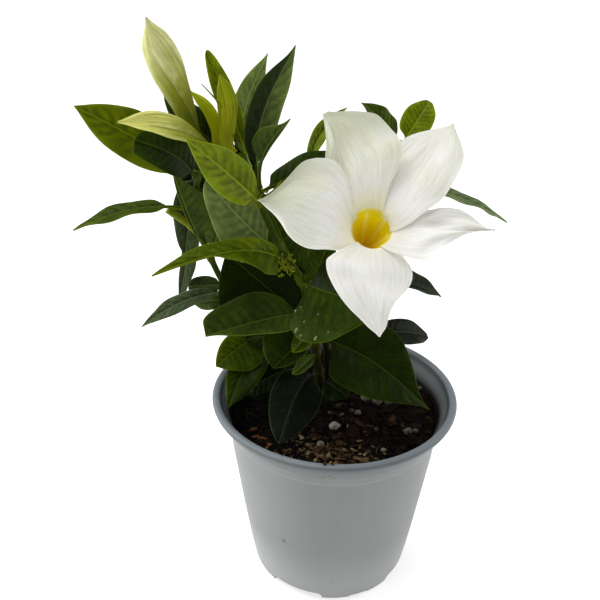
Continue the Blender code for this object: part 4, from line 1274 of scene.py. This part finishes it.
class Petal:
    """One lobe of the flower, from inside the throat to its tip."""

    def __init__(self, row):
        (self.name, turn, tip, self.clockwise, self.other, self.cream, self.dusk,
         self.yellow_from) = row
        self.out = FLOWER_LEVEL * cos(radians(turn)) + FLOWER_RISE * sin(radians(turn))
        self.base = THROAT + self.out * PETAL_FOOT
        self.chord = Vector(tip) - self.base
        ahead = self.chord.normalized()
        self.up = square_to(ahead, FACING)
        self.right = ahead.cross(self.up)
        self.side = self.out.cross(FACING)
        self.seed = turn

    def lobe(self, across, along, side):
        """The open part of the lobe, which bows, ruffles and swells."""
        rise = 4 * along * (1 - along)
        middle = self.base + self.chord * along + self.up * (PETAL_BOW * rise)
        edge = self.clockwise if across > 0 else self.other
        wide = across * max(0.25, along_values(edge, along))
        tilt = PETAL_TILT * blend(-0.6, 0.5, along)
        beat = 1.7 * along + 0.13 * self.seed + (0.3 if across > 0 else 0)
        ruffle = PETAL_RUFFLE * across * across * blend(0.15, 0.5, along) * sin(2 * pi * beat)
        swell = PETAL_SWELL * noise.noise(Vector((1.9 * across, 2.6 * along, 0.1 * self.seed)))
        crease = PETAL_CREASE * noise.noise(Vector((9.0 * across, 1.3 * along, 0.3 * self.seed)))
        lift = wide * sin(radians(tilt)) + ruffle
        lift += (swell + crease) * blend(0.1, 0.4, along) * (1 - blend(0.7, 1, along))
        lift += (side - 0.5) * PETAL_THICKNESS
        return middle + self.right * (wide * cos(radians(tilt))) + self.up * lift

    def reach(self, along):
        """How far out from the throat's edge the lobe is, less than 0 inside."""
        return along * self.chord.length

    def ring(self, across, along, side):
        """The lobe's foot, rolled round the throat."""
        reach = self.reach(along)
        out = LIP_SOFTNESS * log(1 + exp(reach / LIP_SOFTNESS))
        depth = LIP_SOFTNESS * log(1 + exp(-reach / LIP_SOFTNESS))
        angle = radians(PETAL_SPREAD) * across
        stagger = PETAL_STAGGER * across + (side - 0.5) * PETAL_THICKNESS
        flat = min(1, out / (out + depth))
        radius = THROAT_RADIUS + out - stagger * (1 - flat)
        height = out * self.chord.dot(FACING) / self.chord.length - depth + stagger * flat
        return (THROAT + FACING * height
                + (self.out * cos(angle) + self.side * sin(angle)) * radius)

    def place(self, across, along, side):
        along = along * (1 + PETAL_INSIDE) - PETAL_INSIDE
        share = blend(0, 0.34 - 0.18 * abs(across), along)
        spot = self.ring(across, along, side)
        if share > 0:
            spot = spot.lerp(self.lobe(across, max(0, along), side), share)
        return spot

    def values(self, across, along):
        along = along * (1 + PETAL_INSIDE) - PETAL_INSIDE
        # The painted shade grows towards the tip and towards the clockwise edge.
        dusk = self.dusk * blend(0.25, 0.95, along) * (0.65 + 0.35 * across)
        return {"across": across, "along": along, "from_throat": self.reach(along),
                "cream": self.cream, "dusk": dusk, "yellow_from": self.yellow_from}


def make_petals():
    finishes = [petal_finish("petal", (0.88, 0.72, 0.006)),
                petal_finish("petal_under", (0.74, 0.74, 0.42))]
    for row in PETALS:
        petal = Petal(row)
        bm = slab(PETAL_ACROSS, PETAL_ALONG, petal.place, petal.values)
        shown = petal.name.replace("petal_", "lobe_")
        add_piece(bm, shown, finishes, [petal.name], 80)


def along_facing():
    """A matrix that lays a shape turned about +Z on the flower's own line."""
    turn = Matrix((FLOWER_LEVEL, FLOWER_RISE, FACING)).transposed().to_4x4()
    return Matrix.Translation(THROAT) @ turn


def turn_between(first, second):
    """The smaller angle between two directions, in degrees."""
    return abs((first - second + 180) % 360 - 180)


def make_tube():
    """The long tube, whose mouth is a short ridged funnel that leans to one side."""
    outside = [(0, -TUBE_LENGTH), (2.2, -TUBE_LENGTH), (2.4, -30), (3.6, -23), (5.6, -14),
               (7.4, -7), (7.9, -2.0)]
    inside = [(7.6, -1.6), (7.3, -2.6), (6.9, -3.6), (6.4, -5.2), (5.9, -7), (4.6, -10.5),
              (3.1, -14), (1.6, -16.5), (0, -FUNNEL_DEPTH)]
    bm = turned(rounded(outside + inside, 2.0), TUBE_STEPS)
    within, deep, turned_by, ridged, cream = labels(bm, "inside", "deep", "turn", "ridge", "cream")
    lean = Vector(FUNNEL_LEAN)
    for vert in bm.verts:
        radius, depth = hypot(vert.co.x, vert.co.y), -vert.co.z
        between_faces = 8.05 - 0.13 * depth - 0.008 * depth ** 2
        if depth > FUNNEL_DEPTH + 0.1 or radius > between_faces:
            continue
        angle = degrees(atan2(vert.co.y, vert.co.x))
        ridge = max(hump(turn_between(angle, own), RIDGE_WIDTH) for own in RIDGES)
        ridge *= blend(0.5, 3, radius)
        vert[within], vert[ridged] = 1.0, ridge
        yellow_from = sum(more * hump(turn_between(angle, own), wide)
                          for own, wide, more in CREAM_LIPS)
        vert[cream] = 1 - blend(-0.6, 1.4, depth - yellow_from)
        vert[deep], vert[turned_by] = depth / FUNNEL_DEPTH, angle / 360
        vert.co.xy *= 1 - RIDGE_HEIGHT * ridge / max(radius, 1)
        vert.co.xy += lean * blend(0, 1.4, depth / FUNNEL_DEPTH)
    bmesh.ops.transform(bm, matrix=along_facing(), verts=bm.verts)
    add_piece(bm, "corolla_tube", [tube_finish()], ["flower_tube"], 60)


def make_flower_stalk(green):
    base = THROAT - FACING * (TUBE_LENGTH + 0.3)
    start = stem_seat("front", FLOWER_SEAT, base, 1.3)
    bend = base - FACING * 6
    route = smooth_route([start, start.lerp(bend, 0.6), bend, base], 3)
    bm = rod(route, lambda share, turn: 1.3 + 0.6 * share ** 3 + 0.5 * hump(share, 0.06),
             UP, 20, 40)
    labels(bm, "node")
    add_piece(bm, "flower_foot_stalk", [green], ["flower_stalk"])


def make_calyx(green):
    """The green cup that holds the tube's foot, with five points."""
    foot = -TUBE_LENGTH
    ring = [(2.3, foot - 1.5), (2.9, foot - 1.8), (3.2, foot + 0.5), (3.2, foot + 3),
            (3.8, foot + 8), (3.3, foot + 8), (2.6, foot + 3), (2.6, foot - 0.3)]
    bm = turned([*ring, ring[0]], 80)
    upright = [e for e in bm.edges if abs(e.verts[0].co.z - e.verts[1].co.z) > 2]
    bmesh.ops.subdivide_edges(bm, edges=upright, cuts=8)
    for vert in bm.verts:
        reach = vert.co.z - (foot + 3)
        if reach > 0:
            lobe = abs(cos(2.5 * atan2(vert.co.y, vert.co.x))) ** 1.3
            vert.co.z = foot + 3 + reach * (0.15 + 0.85 * lobe)
    bmesh.ops.transform(bm, matrix=along_facing(), verts=bm.verts)
    add_piece(bm, "calyx_cup", [green], ["calyx"])


# ---- the buds ------------------------------------------------------------------------

def furl(turn):
    """0 in the seam beside a furled petal's edge, rising to 1 on top of the edge."""
    return (turn * BUD_LOBES) % 1


def make_buds():
    finishes = {name: bud_finish(name, *look) for name, look in BUD_LOOKS.items()}
    for name, height, hand, radii, turns, look in BUDS:
        start = stem_seat("front", height, hand[0], radii[0] * 0.5)
        route = smooth_route([start, *map(Vector, hand)], 2.0)

        def radius_at(share, turn):
            depth = FURL_DEPTH * blend(0.25, 0.55, share)
            angle = 2 * pi * turn
            around = Vector((2.2 * cos(angle), 2.2 * sin(angle), 5 * share))
            uneven = 1 + 0.07 * noise.noise(around)
            return along_values(radii, share) * uneven * (1 + depth * (furl(turn) - 0.5))

        bm = rod(route, radius_at, FORWARD, BUD_SIDES, BUD_RINGS, turns)
        (ridge,), turn = labels(bm, "ridge"), bm.verts.layers.float["turn"]
        for vert in bm.verts:
            vert[ridge] = furl(vert[turn])
        add_piece(bm, name.replace("bud_", "furled_bud_"), [finishes[look]], [name], 75)


# ---- the stage, light and camera -----------------------------------------------------

FLOOR_RADIUS = 14000
PANEL = {"shape": "RECTANGLE", "size": 0.5, "size_y": 0.9}
# Each light: name, kind, strength, where it stands and what it points at, in metres.
LIGHTS = [
    ("overhead", "SUN", 2.0, (-0.25, 0.1, 1.0), (0, 0, 0), {"angle": radians(50)}),
    ("left_panel", "AREA", 7.0, (-0.9, 0.15, 0.45), (0, 0, 0.13), PANEL),
    ("right_panel", "AREA", 4.3, (0.95, 0.2, 0.4), (0, 0, 0.12), PANEL),
]
WORLD_STRENGTH = 0.3
# The camera: what it looks at and from how far, in millimetres, how high it stands and
# how it is rolled, and its lens.
CAMERA_TARGET = Vector((-17.3, 0, 149.8))
CAMERA_DISTANCE = 329.0
CAMERA_ELEVATION = 26.5
CAMERA_ROLL = 0.63
LENS = 42.54
SENSOR = 36


def make_floor():
    bm = bmesh.new()
    bmesh.ops.create_circle(bm, cap_ends=True, radius=FLOOR_RADIUS, segments=96)
    floor = as_object(bm, "floor")
    floor.data.materials.append(floor_finish())


def make_lights():
    world = bpy.data.worlds.new("studio")
    world.use_nodes = True
    background = world.node_tree.nodes["Background"].inputs
    background["Color"].default_value = (1, 1, 1, 1)
    background["Strength"].default_value = WORLD_STRENGTH
    bpy.context.scene.world = world
    for name, kind, energy, place, target, settings in LIGHTS:
        data = bpy.data.lights.new(name, kind)
        data.energy = energy
        for setting, value in settings.items():
            setattr(data, setting, value)
        light = bpy.data.objects.new(name, data)
        light.location = place
        ahead = Vector(target) - light.location
        light.rotation_euler = ahead.to_track_quat("-Z", "Y").to_euler()
        bpy.context.scene.collection.objects.link(light)


def make_camera():
    data = bpy.data.cameras.new("camera")
    data.sensor_width = SENSOR
    data.lens = LENS
    data.clip_start = 0.01
    data.clip_end = 50
    camera = bpy.data.objects.new("camera", data)
    elevation = radians(CAMERA_ELEVATION)
    back = Vector((0, -cos(elevation), sin(elevation)))
    camera.location = (CAMERA_TARGET + back * CAMERA_DISTANCE) * MM
    level = back.to_track_quat("Z", "Y").to_matrix().to_4x4()
    turn = level @ Matrix.Rotation(radians(CAMERA_ROLL), 4, "Z")
    camera.rotation_euler = turn.to_euler()
    bpy.context.scene.collection.objects.link(camera)
    bpy.context.scene.camera = camera
    bpy.context.scene.view_settings.view_transform = "Standard"


def dress_roots():
    """Give the roots, which stay as they are, a finish of their own."""
    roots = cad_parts["roots"].data.materials
    roots.clear()
    roots.append(bit_finish("roots", (0.3, 0.2, 0.1), (0.45, 0.33, 0.18), (0.4, 0.3, 0.2)))


make_pot()
make_soil()
make_loose_bits()
make_stems()
make_leaves()
make_petals()
make_tube()
shoot_green = bract_finish()
make_flower_stalk(stem_finish())
make_shoots(shoot_green)
make_calyx(shoot_green)
make_buds()
dress_roots()
make_floor()
make_lights()
make_camera()
